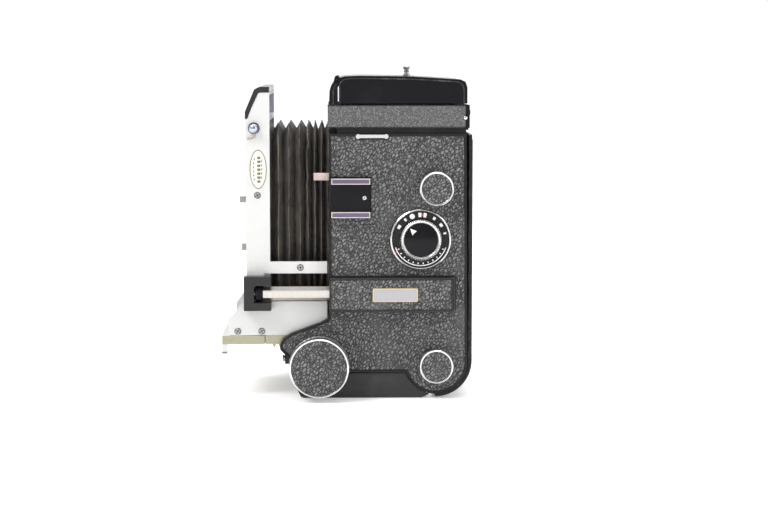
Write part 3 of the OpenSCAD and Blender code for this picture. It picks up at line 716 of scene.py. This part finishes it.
def knob_with_leather(name, joint, radius, low, high, body, axis, replaced, shaft=None, waves=0):
    """A turned knob: skirt, plated ring and a leather disc let into its face.

    shaft is the radius and the inner end of the shaft it keeps."""
    place = joint_place(joint)
    centre = (place.x, 0, place.z)
    wave = (lambda angle: 1 + 0.012 * math.cos(waves * angle)) if waves else None
    skirt = radius + (0.35 if waves else 0)
    mid = low + (high - low) * 0.42
    profile = [
        (0, high - 0.7), (radius - 0.8, high - 0.7), (radius - 0.75, high - 0.12), (radius - 0.6, high),
        (radius - 0.25, high), (radius, high - 0.3), (radius, mid + 0.9), (radius - 0.5, mid + 0.4),
        (skirt - 0.3, mid, True), (skirt, mid - 0.35, True), (skirt, low + 0.4, True),
        (skirt - 0.4, low, True), (radius * 0.6, low),
    ]
    profile += [(shaft[0], low), shaft, (0, shaft[1])] if shaft else [(0, low)]
    turned = piece(name, lathe(profile, centre, axis, 144 if waves else 96, wave), "skirt", body)
    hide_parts(replaced)
    ring = [
        (radius - 0.8, high - 0.5), (radius - 0.78, high - 0.06), (radius - 0.6, high + 0.06),
        (radius - 0.22, high + 0.06), (radius + 0.06, high - 0.24), (radius + 0.06, high - 0.9),
        (radius - 0.3, high - 0.9),
    ]
    piece(name + "_ring", lathe(ring, centre, axis), "bright", body)
    face = [
        (0, high - 0.75), (radius - 0.85, high - 0.75), (radius - 0.85, high - 0.25),
        (radius - 1.2, high + 0.02), (0, high + 0.06),
    ]
    piece(name + "_leather", lathe(face, centre, axis), "leather", body)


def knobs():
    """The two focus knobs, and the two knobs that hold the spools."""
    low, high = node_box("left_focus_knob")
    for _, name, axis in SIDES:
        knob_with_leather(f"{name}_knob_turned", "focus_turn", 15.3, -high.y, -low.y, "focus_drive", axis,
                          f"{name}_focus_knob", waves=36)
    for name, joint in (("lower", "supply_turn"), ("upper", "take_up_turn")):
        low = node_box(f"{name}_spool_knob")[0]
        knob_with_leather(f"{name}_knob_turned", joint, 8.7, 43.1, -low.y, f"{name}_knob", "-Y",
                          f"{name}_spool_knob", shaft=(2.2, 29.5))


def dial_marks(centre, face):
    """White and red marks of the lock dial's ring: a range bar, two zones and small blocks."""
    work = bmesh.new()
    red = bmesh.new()
    depth = (face - 0.1, face + 0.05)

    def arc(target, radius, width, start, end, steps):
        angles = [math.radians(start + (end - start) * i / steps) for i in range(steps + 1)]
        outline = [(radius + width / 2, a) for a in angles] + [(radius - width / 2, a) for a in angles[::-1]]
        points = [(centre.x + r * math.cos(a), centre.z + r * math.sin(a)) for r, a in outline]
        prism(points, *depth, work=target)

    def dot(target, x, z, radius):
        prism(oval((centre.x + x, centre.z + z), radius, radius), *depth, work=target)

    arc(work, 13.7, 0.45, 198, 342, 48)
    for turn in range(204, 340, 12):
        arc(work, 12.6, 0.9, turn - 1.1, turn + 1.1, 2)
    for turn, width in ((150, 9), (128, 5), (57, 6), (35, 8), (14, 4)):
        arc(work, 12.9, 1.5, turn - width / 2, turn + width / 2, 4)
    for turn in (92, 80):
        arc(work, 12.7, 2.3, turn - 3.5, turn + 3.5, 4)
    dot(work, -4.4, 11.9, 1.35)
    arc(red, 12.7, 1.0, 84, 88, 2)
    dot(red, -13.2, -7.0, 0.75)
    piece("dial_white_marks", work, "white", "camera")
    piece("dial_red_marks", red, "red", "camera")


def lock_dial():
    """Fixed ring with marks, and the knurled dial with its pointer."""
    place = joint_place("lock_dial_turn")
    centre = Vector((place.x, 0, place.z))
    low, high = node_box("dial_base_ring")
    face = -low.y
    profile = [
        (10.95, -high.y), (15.6, -high.y), (15.6, face - 0.4), (15.3, face), (14.9, face),
        (14.75, face - 0.35), (11.3, face - 0.35), (11.15, face + 0.1), (10.95, face + 0.1),
    ]
    ring = piece("dial_ring_turned", lathe(profile, centre), "rim", "camera")
    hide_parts("dial_base_ring")
    edge = [
        (14.8, face - 0.3), (15.65, face - 0.3), (15.7, face + 0.05), (15.35, face + 0.3),
        (14.95, face + 0.1),
    ]
    piece("dial_ring_edge", lathe(edge, centre), "bright", "camera")
    dial_marks(centre, low.y + 0.35)

    top = -node_box("lens_lock_dial")[0].y
    body = [
        (0, top - 0.9), (9.0, top - 0.9), (9.1, top - 0.25), (9.4, top), (9.9, top), (10.1, top - 0.35),
        (10.45, top - 0.6, True), (10.45, 44.2, True), (10.2, 43.9), (10.2, 42.9), (2.5, 42.9),
        (2.5, 31.9), (0, 31.9),
    ]
    turned = piece("lock_dial_turned", lathe(body, centre, steps=480, wave=knurl(60, 0.011)), "bright",
                   "lock_dial", sharp=KNURL_SHARP)
    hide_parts("lens_lock_dial")
    cap = [(0, top - 1.0), (8.9, top - 1.0), (8.9, top - 0.55), (8.5, top - 0.3), (0, top - 0.25)]
    piece("lock_dial_cap", lathe(cap, centre), "gloss", "lock_dial")
    turn = math.radians(133)
    along = Vector((math.cos(turn), math.sin(turn)))
    side = Vector((-along.y, along.x)) * 1.55
    middle = Vector((place.x, place.z))
    tip, tail = middle + along * 8.2, middle + along * 5.0
    arrow = [tip, tail + side, tail - side]
    piece("lock_dial_pointer", prism(arrow, -top + 0.1, -top + 0.4), "white", "lock_dial")


# ---- The front standard ----

# The outer face of the standard's side plates
PLATE_Y = 38.5


def pleats(start, end, depth, rng):
    """Stations (x, drop) from start to end, where drop is how far the fold lies below its ridges."""
    widths = (6.6, 5.8, 5.9, 5.4, 3.5, 3.2, 3.6, 3.7)
    end_drop = 2.0
    stations = [(start, end_drop)]
    valley = start
    for i, share in enumerate(widths):
        pitch = share * (end - start) / sum(widths)
        peak = valley + pitch * rng.uniform(0.46, 0.56)
        for offset, drop in ((-0.3, 0.35), (0.0, 0.0), (0.3, 0.35)):
            stations.append((peak + offset, drop + rng.uniform(0, 0.3)))
        valley += pitch
        if i < len(widths) - 1:
            for offset, drop in ((-0.25, 0.45), (0.0, 0.0), (0.25, 0.45)):
                stations.append((valley + offset, depth - drop - rng.uniform(0, 0.5)))
    return stations + [(end, end_drop)]


def bellows():
    """Folded leather: ridges with cut corners, valleys drawn in, each pleat a little uneven."""
    low, high = node_box("bellows")
    middle = (low.z + high.z) / 2
    half = ((high.y - low.y) / 2, (high.z - low.z) / 2)
    depth = 5.2
    worn_pleat = low.x + 24
    stations = pleats(low.x, high.x, depth, random.Random(SEED))
    work = bmesh.new()
    ridge = work.verts.layers.float.new("ridge")
    rings = []
    for index, (x, drop) in enumerate(stations):
        is_end = index in (0, len(stations) - 1)
        cut = 2.2 + 4.2 * (1 - drop / depth)
        a, b = half[0] - drop, half[1] - drop
        corners = [(a, b - cut), (a - cut, b), (-a + cut, b), (-a, b - cut), (-a, -b + cut), (-a + cut, -b),
                   (a - cut, -b), (a, -b + cut)]
        ring = []
        for i, corner in enumerate(corners):
            target = corners[(i + 1) % 8]
            is_side = i % 2 == 1
            steps = 22 if is_side else 2
            for step in range(steps):
                t = step / steps
                y = corner[0] + (target[0] - corner[0]) * t
                z = corner[1] + (target[1] - corner[1]) * t
                sag = 0.75 * math.sin(math.pi * t) if is_side else 0.0
                waver = noise.noise(Vector((y * 0.06, z * 0.06, index * 0.9 + SEED)))
                shrink = 1 - (sag + 0.35 * waver + 0.35) / max(a, b)
                bend = noise.noise(Vector((y * 0.035, z * 0.035, x * 0.3)))
                crumple = noise.noise(Vector((y * 0.16, z * 0.16, x * 0.12 + SEED)))
                creased = 1 + 2.2 * math.exp(-(((x - worn_pleat) / 5) ** 2)) * (1 if z > 10 else 0.35)
                shift = 0.0 if is_end else 0.6 * bend + 0.3 * creased * crumple
                vert = work.verts.new((x + shift, y * shrink, middle + z * shrink))
                vert[ridge] = max(0.0, 1 - drop / 1.1)
                ring.append(vert)
        rings.append(ring)
    for ring, following in zip(rings, rings[1:]):
        for i in range(len(ring)):
            j = (i + 1) % len(ring)
            work.faces.new((ring[i], ring[j], following[j], following[i]))
    folded = piece("bellows_folds", work, "bellows", None, sharp=math.radians(60))
    wall = folded.modifiers.new("wall", "SOLIDIFY")
    wall.thickness = 0.5 * MM
    wall.offset = -1
    bpy.context.view_layer.objects.active = folded
    with bpy.context.temp_override(object=folded):
        bpy.ops.object.modifier_apply(modifier="wall")
    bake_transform(folded)
    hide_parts("bellows")


def lens_barrel(name, node, z, profile):
    """A turned black barrel that stands in for a CAD node."""
    turned = piece(name, lathe(profile, (0, 0, z), "X"), "gloss", "standard")
    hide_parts(node)


def lens_glass(name, z, front):
    """Domed front glass."""
    radius, rise, reach = 13.9, 2.4, math.radians(24)
    dome = []
    for degrees in range(0, 25, 3):
        a = math.radians(degrees)
        share = (1 - math.cos(a)) / (1 - math.cos(reach))
        dome.append((radius * math.sin(a) / math.sin(reach), front + rise * share))
    dome += [(radius, front + 6), (0, front + 6)]
    return piece(name, lathe(dome, (0, 0, z), "X"), "glass", "standard")


def lenses():
    """Both shallow lenses, and the speed ring round the taking lens."""
    taking = joint_place("speed_ring_turn").z
    low, high = node_box("viewing_lens")
    viewing = (low.z + high.z) / 2
    barrel = [
        (19.5, -60.0), (19.1, -60.2), (17.9, -60.2), (17.6, -59.6), (16.2, -58.9), (16.0, -58.4),
        (14.6, -57.9), (14.02, -57.3), (14.02, -46), (17, -46), (17, -55.9), (24.5, -55.9), (24.5, -57.1),
        (24.2, -57.4), (19.5, -57.4),
    ]
    finder = [
        (16.8, -59.9), (16.5, -60.2), (15.6, -60.2), (15.3, -59.5), (14.4, -58.9), (14.02, -58.2),
        (14.02, -48), (15, -48), (15, -55.9), (18.4, -55.9), (18.4, -58.1), (18.1, -58.4), (16.8, -58.4),
    ]
    lens_barrel("taking_barrel_turned", "taking_lens", taking, barrel)
    lens_barrel("viewing_barrel_turned", "viewing_lens", viewing, finder)
    glass = lens_glass("taking_glass", taking, -58.4)
    lens_glass("viewing_glass", viewing, -58.6)
    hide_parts("lens_glasses")
    front = -60.25
    for name, z, radius in (("taking_trim", taking, 18.6), ("viewing_trim", viewing, 16.1)):
        near, far = radius - 0.35, radius + 0.35
        trim = [(near, front), (far, front), (far, front + 0.2), (near, front + 0.2)]
        piece(name, lathe(trim, (0, 0, z), "X"), "bright", "standard")

    ring = [
        (19.57, -57.6), (19.57, -59.6), (20.0, -60.0), (22.6, -60.0), (23.0, -59.7), (23.35, -59.3, True),
        (23.35, -58.1, True), (23.0, -57.8), (22.6, -57.6),
    ]
    turned = piece("speed_ring_turned", lathe(ring, (0, 0, taking), "X", 560, knurl(70, 0.008)), "chrome",
                   "shutter_speed_ring", sharp=KNURL_SHARP)
    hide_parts("speed_ring")
    work = bmesh.new()
    for i in range(11):
        angle = math.radians(30 + 12 * i)
        out = Vector((math.cos(angle), math.sin(angle)))
        side = Vector((-out.y, out.x)) * 0.22
        inner = Vector((0, taking)) + out * (20.7 if i % 2 else 20.2)
        outer = Vector((0, taking)) + out * 22.3
        prism([inner + side, outer + side, outer - side, inner - side], -60.1, -59.95, "YZ", work)
    piece("speed_ring_marks", work, "rim", "shutter_speed_ring")


def plate_screws():
    """Four screws on each side plate."""
    rng = random.Random(SEED)
    for side, name, axis in SIDES:
        for i, (x, z) in enumerate(((-65, 34.9), (-52.5, 34.9), (-54.3, 106.1), (-32.2, 68.4)), 1):
            place = (x, side * PLATE_Y, z)
            turn = rng.uniform(0, 180)
            screw_head(f"plate_screw_{name}_{i}", place, 1.55, turn, "standard", axis)
    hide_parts("plate_screws")


def sticker():
    """Oval paper with a border, a column of plain bars and two of ticks."""
    centre = Vector((-53.8, 119.6))
    depth = (-PLATE_Y - 0.12, -PLATE_Y)
    paper = prism(oval(centre, 4.1, 9.8), -PLATE_Y - 0.08, -PLATE_Y + 0.02)
    piece("sticker_paper", paper, "paper", "standard")
    border = ring_wall(oval(centre, 4.4, 10.1), oval(centre, 3.95, 9.65), depth[0], depth[1] + 0.02)
    for i in range(7):
        z = 112.6 + 2.05 * i
        prism(rounded((-54.3, -52.6), (z, z + 1.35), 0.25), *depth, work=border)
    for reach, marks in ((-2.5, 6), (1.9, 5)):
        for i in range(marks):
            rise = (i - (marks - 1) / 2) * 2.1
            x = centre.x + reach * math.sqrt(1 - (rise / 9.0) ** 2)
            z = centre.y + rise
            tick = rounded((x - 0.3, x + 0.3), (z - 0.55, z + 0.55), 0.12)
            prism(tick, depth[0] + 0.01, depth[1], work=border)
    piece("sticker_print", border, "ink", "standard")


def cap_cheeks():
    """Black edging of the standard's cap, folded over the sloping edge of both side plates."""
    band = [
        (-48.0, 162.3), (-53.0, 162.3), (-55.7, 160.9), (-60.55, 149.4), (-60.55, 145.6), (-59.2, 145.9),
        (-57.2, 151.2), (-53.6, 158.9), (-52.6, 159.3), (-48.0, 159.3),
    ]
    for side, name, _ in SIDES:
        work = prism(band, *layer(side, PLATE_Y - 0.1, PLATE_Y + 0.35))
        piece(f"cap_cheek_{name}", work, "bracket", "standard", 0.18)


def paint(node, look, test):
    """Gives a second finish to those faces of a CAD node whose middle passes the test."""
    mesh = frame["nodes"][node].data
    mesh.materials.append(LOOK[look])
    for face in mesh.polygons:
        if test(face.center / MM, face.normal):
            face.material_index = len(mesh.materials) - 1


def bed_paint():
    """White enamel on the bed's top and on its tongue, which ends in a dark pad."""
    bed_top, tongue_top = 32.4, 28
    paint("focusing_bed", "plate",
          lambda place, normal: place.z > bed_top or place.z < tongue_top and abs(normal.z) < 0.5)
    pad = prism(rounded((-73.4, -70.6), (-38.5, -32.9), 0.3), 23.0, 24.1, "XY")
    piece("bed_tongue_pad", pad, "skirt", "standard", 0.2)


def crank_dressing():
    """Turned rings and an enamelled centre on the crank's boss, and the pivot's screw."""
    place = joint_place("winding_crank_turn")
    centre = (place.x, 0, place.z)
    rim = [(7.7, 47.3), (9.15, 47.3), (9.15, 47.5), (8.8, 47.85), (8.0, 47.85), (7.7, 47.6)]
    piece("crank_rim", lathe(rim, centre, "Y"), "bright", "crank")
    middle = [(0, 47.4), (7.3, 47.4), (7.2, 47.7), (0, 47.75)]
    piece("crank_centre", lathe(middle, centre, "Y"), "gloss", "crank")
    grip = [(8.95, 44.0, True), (9.1, 44.0, True), (9.1, 46.2, True), (8.95, 46.2, True)]
    piece("crank_knurl", lathe(grip, centre, "Y", 480, knurl(60, 0.012)), "skirt", "crank", sharp=KNURL_SHARP)
    screw_head("crank_screw", (place.x, 49.7, place.z), 2.0, 35, "crank", "Y")


def distance_rod():
    """Six-sided rod with its ribbed knob."""
    end = node_box("scale_rod")[1].x
    place = joint_place("distance_rod_turn")
    centre = (0, place.y, place.z)
    start = -51.6
    corner = 3.72

    def ribs(angle):
        return 1 - 0.07 * (0.5 + 0.5 * math.cos(22 * angle))

    knob = [
        (0, -55.8), (3.3, -55.8), (4.0, -55.3, True), (4.1, -54.9, True), (4.1, -52.4, True),
        (3.9, -51.9, True), (3.4, start), (0, start),
    ]
    piece("rod_knob", lathe(knob, centre, "X", 176, ribs), "gloss", "distance_rod")
    turns = [math.radians(a) for a in range(0, 360, 60)]
    outline = [(place.y + corner * math.sin(a), place.z + corner * math.cos(a)) for a in turns]
    work = prism(outline, start, end, "YZ")
    lathe([(0, -58.7), (1.3, -58.7), (1.5, -58.5), (1.5, start), (0, start)], centre, "X", 40, work=work)
    rod = piece("rod_bar", work, "rod", "distance_rod", 0.22, 3)
    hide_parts("scale_rod")
    rod_rulings(Vector((place.y, place.z)), corner * math.cos(math.radians(30)), start, end)


def rod_rulings(axis, flat, start, end):
    """Two fine lines along each facet, with short strokes between them, a few of them red."""
    lines = bmesh.new()
    reds = bmesh.new()
    rng = random.Random(SEED)
    for face in range(6):
        turn = math.radians(30 + 60 * face)
        out = Vector((math.sin(turn), math.cos(turn)))
        across = Vector((out.y, -out.x))
        middle = axis + out * flat

        def bar(target, low, high, offset, half):
            left, right = middle + across * (offset - half), middle + across * (offset + half)
            sunk, proud = out * -0.05, out * 0.035
            prism([left + sunk, right + sunk, right + proud, left + proud], low, high, "YZ", target)

        for offset in (-1.35, 1.35):
            bar(lines, start + 1.2, end - 1, offset, 0.07)
        x = start + 5
        while x < end - 4:
            target = reds if rng.random() < 0.16 else lines
            bar(target, x, x + 0.22, rng.choice((-0.75, 0.0, 0.75)), 0.45)
            x += rng.uniform(2.4, 4.6)
    piece("rod_rulings", lines, "gold", "distance_rod")
    piece("rod_red_marks", reds, "red", "distance_rod")


def bail():
    """Wire over the lens board, with ball ends outside the plates and a small thumb lever."""
    place = joint_place("bail_turn")
    centre = (place.x, 0, place.z)
    x, z = -57.4, 134.0
    end = [(place.x, -36.9, place.z), (place.x - 0.1, -35.8, place.z - 0.5)]
    end += [(x, -35.6, z + 1.2), (x, -34.4, z)]
    points = end + [(x, y, z) for y in (-20, 0, 20)] + [(a, -b, c) for a, b, c in end[::-1]]
    loop = wire("bail_wire", points, 0.7, "bright", "bail")
    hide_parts("wire_bail")
    stem = [(0, 35.2), (1, 35.2), (1, 38.55), (1.7, 38.6), (1.7, 39.2), (0, 39.3)]
    collar = [(2.2, 38.7), (2.9, 38.7), (3.0, 39.0), (2.6, 39.5), (2.2, 39.5)]
    for side, name, axis in SIDES:
        work = ellipsoid((place.x, side * 41.2, place.z), (2.5, 2.3, 2.5), 20, 36)
        lathe(stem, centre, axis, 36, work=work)
        piece(f"bail_ball_{name}", work, "ball", "bail")
        piece(f"bail_collar_{name}", lathe(collar, centre, axis, 48), "gloss", "bail")
    bends = ((0, -39.4, -2.2), (0.2, -39.6, -4.6), (-1.6, -39.6, -5.3), (-3.4, -39.5, -5.4))
    thumb = [(place.x + a, y, place.z + b) for a, y, b in bends]
    wire("bail_thumb_wire", thumb, 0.45, "brass", "bail")


# ---- The hood ----


def lid_stud():
    """The stud on the lid, turned with a waist."""
    low, high = node_box("lid_stud")
    centre = ((low.x + high.x) / 2, 0, 0)
    profile = [
        (0, low.z), (1.95, low.z), (1.95, 168.3), (1.3, 168.6), (1.2, 169.7), (1.5, 170.1), (1.15, 170.5),
        (1.15, 171.0), (1.75, 171.3), (1.85, 172.2), (1.2, 172.8), (0, 172.95),
    ]
    stud = piece("lid_stud_turned", lathe(profile, centre, "Z", 64), "steel", "stud")
    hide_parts("lid_stud")


def magnifier():
    """Square frame with a round hole, its hinge end and pin, and the lens in the hole."""
    low, high = node_box("magnifier")
    hinge_x = joint_place("magnifier_swing").x
    middle = hinge_x + 19
    bottom, top = 160.2, 162.6
    half_width = 15.5
    back = low.x + 2.4
    steps = 48
    square = []
    for i in range(steps):
        angle = 2 * math.pi * i / steps
        out = Vector((math.cos(angle), math.sin(angle)))
        reach_x = (high.x - middle if out.x > 0 else middle - back) / max(abs(out.x), 1e-6)
        reach = min(reach_x, half_width / max(abs(out.y), 1e-6))
        square.append((middle + out.x * reach, out.y * reach))
    work = ring_wall(square, oval((middle, 0), 13, 13, steps), bottom, top, "XY")
    prism(rounded((low.x, low.x + 4), (-16.8, 16.8), 0.8), 160.5, 162.5, "XY", work)
    pin = [(0, low.y), (0.55, low.y), (0.55, high.y), (0, high.y)]
    lathe(pin, (hinge_x, 0, 161.5), "Y", 24, work=work)
    loupe = piece("loupe_frame", work, "gloss", "loupe", 0.15)
    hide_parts("magnifier")

    def curve(degrees, level, swell):
        share = math.sin(math.radians(degrees)) / math.sin(math.radians(20))
        return 12.9 * share, bottom + level + swell * math.cos(math.radians(degrees * 4.5))

    dome = [(0, bottom + 0.2)] + [curve(a, 0.9, -0.6) for a in range(4, 21, 4)]
    dome += [(12.9, bottom + 1.4)] + [curve(a, 1.5, 0.8) for a in range(20, 0, -4)]
    dome += [(0, bottom + 2.3)]
    piece("loupe_lens", lathe(dome, (middle, 0, 0), "Z", 64), "loupe", "loupe")


def hood_beads():
    """Raised bead along the edges of the hood's front cheeks and of the lid's sides."""
    width = 0.55
    cheek = [(-14.6, 153.2), (-14.5, 160.2), (-13.9, 162.2), (-12.9, 163.7)]
    edge = [
        (-11.2, 153.9), (-11.2, 163.6), (-9.6, 165.5), (-6.6, 166.2), (-1, 166.3), (24.4, 166.0),
        (49.6, 164.6), (51.7, 163.4), (52.5, 161.2), (52.6, 153.9),
    ]
    for side, name, _ in SIDES:
        for line, body, which in ((cheek, "camera", "cheek"), (edge, "lid", "lid")):
            back = []
            for i, (x, z) in enumerate(line):
                before, after = Vector(line[max(i - 1, 0)]), Vector(line[min(i + 1, len(line) - 1)])
                along = (after - before).normalized()
                back.append((x - along.y * width, z + along.x * width))
            work = prism(line + back[::-1], *layer(side, 40.8, 41.15))
            piece(f"hood_bead_{which}_{name}", work, "bead", body, 0.15)


def hood_trim():
    """Dark end band of the hood's base with its dot, and thin seams above and below the leather."""
    low, high = node_box("hood_base")
    top = low.z + 11.7
    end = high.x - 2.0
    for side, name, axis in SIDES:
        band = rounded((high.x - 1.9, high.x + 0.2), (low.z - 0.2, top + 0.2), 0.4)
        work = prism(band, *layer(side, high.y - 0.2, high.y + 0.35))
        piece(f"hood_end_band_{name}", work, "gloss", "camera", 0.15)
        button = [(0, 41.7), (0.8, 41.7), (0.8, 42.0), (0.5, 42.2), (0, 42.25)]
        work = lathe(button, (end, 0, (low.z + top) / 2 - 0.8), axis, 32)
        piece(f"hood_dot_{name}", work, "bright", "camera")
        for z, which in ((low.z + 0.15, "lower"), (top - 0.45, "upper")):
            seam = rounded((low.x - 0.1, end), (z, z + 0.35), 0.12)
            work = prism(seam, *layer(side, high.y - 0.1, high.y + 0.12))
            piece(f"hood_seam_{which}_{name}", work, "gloss", "camera", 0.08)


# ---- Floor, light and camera ----


def stage():
    """A pale floor that glows slightly."""
    reach = 20
    level = -0.0002
    work = bmesh.new()
    for x, y in ((-reach, -reach), (reach, -reach), (reach, reach), (-reach, reach)):
        work.verts.new((x, y, level))
    work.faces.new(work.verts)
    mesh = bpy.data.meshes.new("floor")
    work.to_mesh(mesh)
    work.free()
    floor = bpy.data.objects.new("floor", mesh)
    bpy.context.scene.collection.objects.link(floor)
    look = Look("studio_floor", (0.95, 0.95, 0.95), 0.8, gleam=0.2)
    look.grime((0.93, 0.93, 0.93), 400.0)
    look.shade({"Emission Color": (1, 1, 1, 1), "Emission Strength": 0.28})
    mesh.materials.append(look.material)


def lamp(name, place, target, size, power):
    """A rectangular area lamp that faces target, in metres and watts."""
    light = bpy.data.lights.new(name, "AREA")
    light.shape = "RECTANGLE"
    light.size, light.size_y = size
    light.energy = power
    obj = bpy.data.objects.new(name, light)
    obj.location = place
    obj.rotation_euler = (Vector(target) - Vector(place)).to_track_quat("-Z", "Y").to_euler()
    bpy.context.scene.collection.objects.link(obj)


def lights():
    """A white world that grows brighter to the back and top, and three soft lamps."""
    world = bpy.data.worlds.new("studio")
    bpy.context.scene.world = world
    world.use_nodes = True
    tree = world.node_tree
    place = add_node(tree, "ShaderNodeTexCoord", {})
    bright_side = {0: place.outputs["Generated"], 1: (-0.2, 0.75, 0.63)}
    towards = add_node(tree, "ShaderNodeVectorMath", bright_side, operation="DOT_PRODUCT")
    span = {
        "Value": towards.outputs["Value"], "From Min": -1.0, "From Max": 0.5, "To Min": 0.34, "To Max": 1.05,
    }
    strength = add_node(tree, "ShaderNodeMapRange", span)
    feed(tree, tree.nodes["Background"], {"Color": (1, 1, 1, 1), "Strength": strength.outputs["Result"]})
    middle = (0, 0, 0.08)
    lamp("key", (-0.75, -0.6, 1.05), middle, (0.6, 0.5), 9)
    lamp("side", (1.1, -0.7, 0.5), middle, (0.3, 0.9), 4)
    lamp("top", (0.05, 0.25, 1.2), middle, (1.2, 0.8), 8)
    settings = bpy.context.scene.view_settings
    settings.view_transform = "Standard"
    settings.look = "None"


def camera():
    """Side view from the left, a few degrees above, a metre away."""
    view_width = 399.36
    distance = 1000
    target = Vector((11.4, -PANEL_Y, 73.6))
    rise = math.radians(6)
    place = Vector((-12, target.y - distance * math.cos(rise), target.z + distance * math.sin(rise)))
    data = bpy.data.cameras.new("camera")
    data.sensor_width = 36
    data.lens = data.sensor_width * distance / view_width
    data.clip_start = 0.01
    obj = bpy.data.objects.new("camera", data)
    obj.location = place * MM
    obj.rotation_euler = (target - place).to_track_quat("-Z", "Y").to_euler()
    bpy.context.scene.collection.objects.link(obj)
    bpy.context.scene.camera = obj


camera()
stage()
lights()
body_pieces()
raised_rims()
door_skin()
housing_dressing()
shoe_dressing()
knobs()
lock_dial()
bellows()
lenses()
plate_screws()
sticker()
cap_cheeks()
bed_paint()
crank_dressing()
distance_rod()
bail()
lid_stud()
magnifier()
hood_beads()
hood_trim()
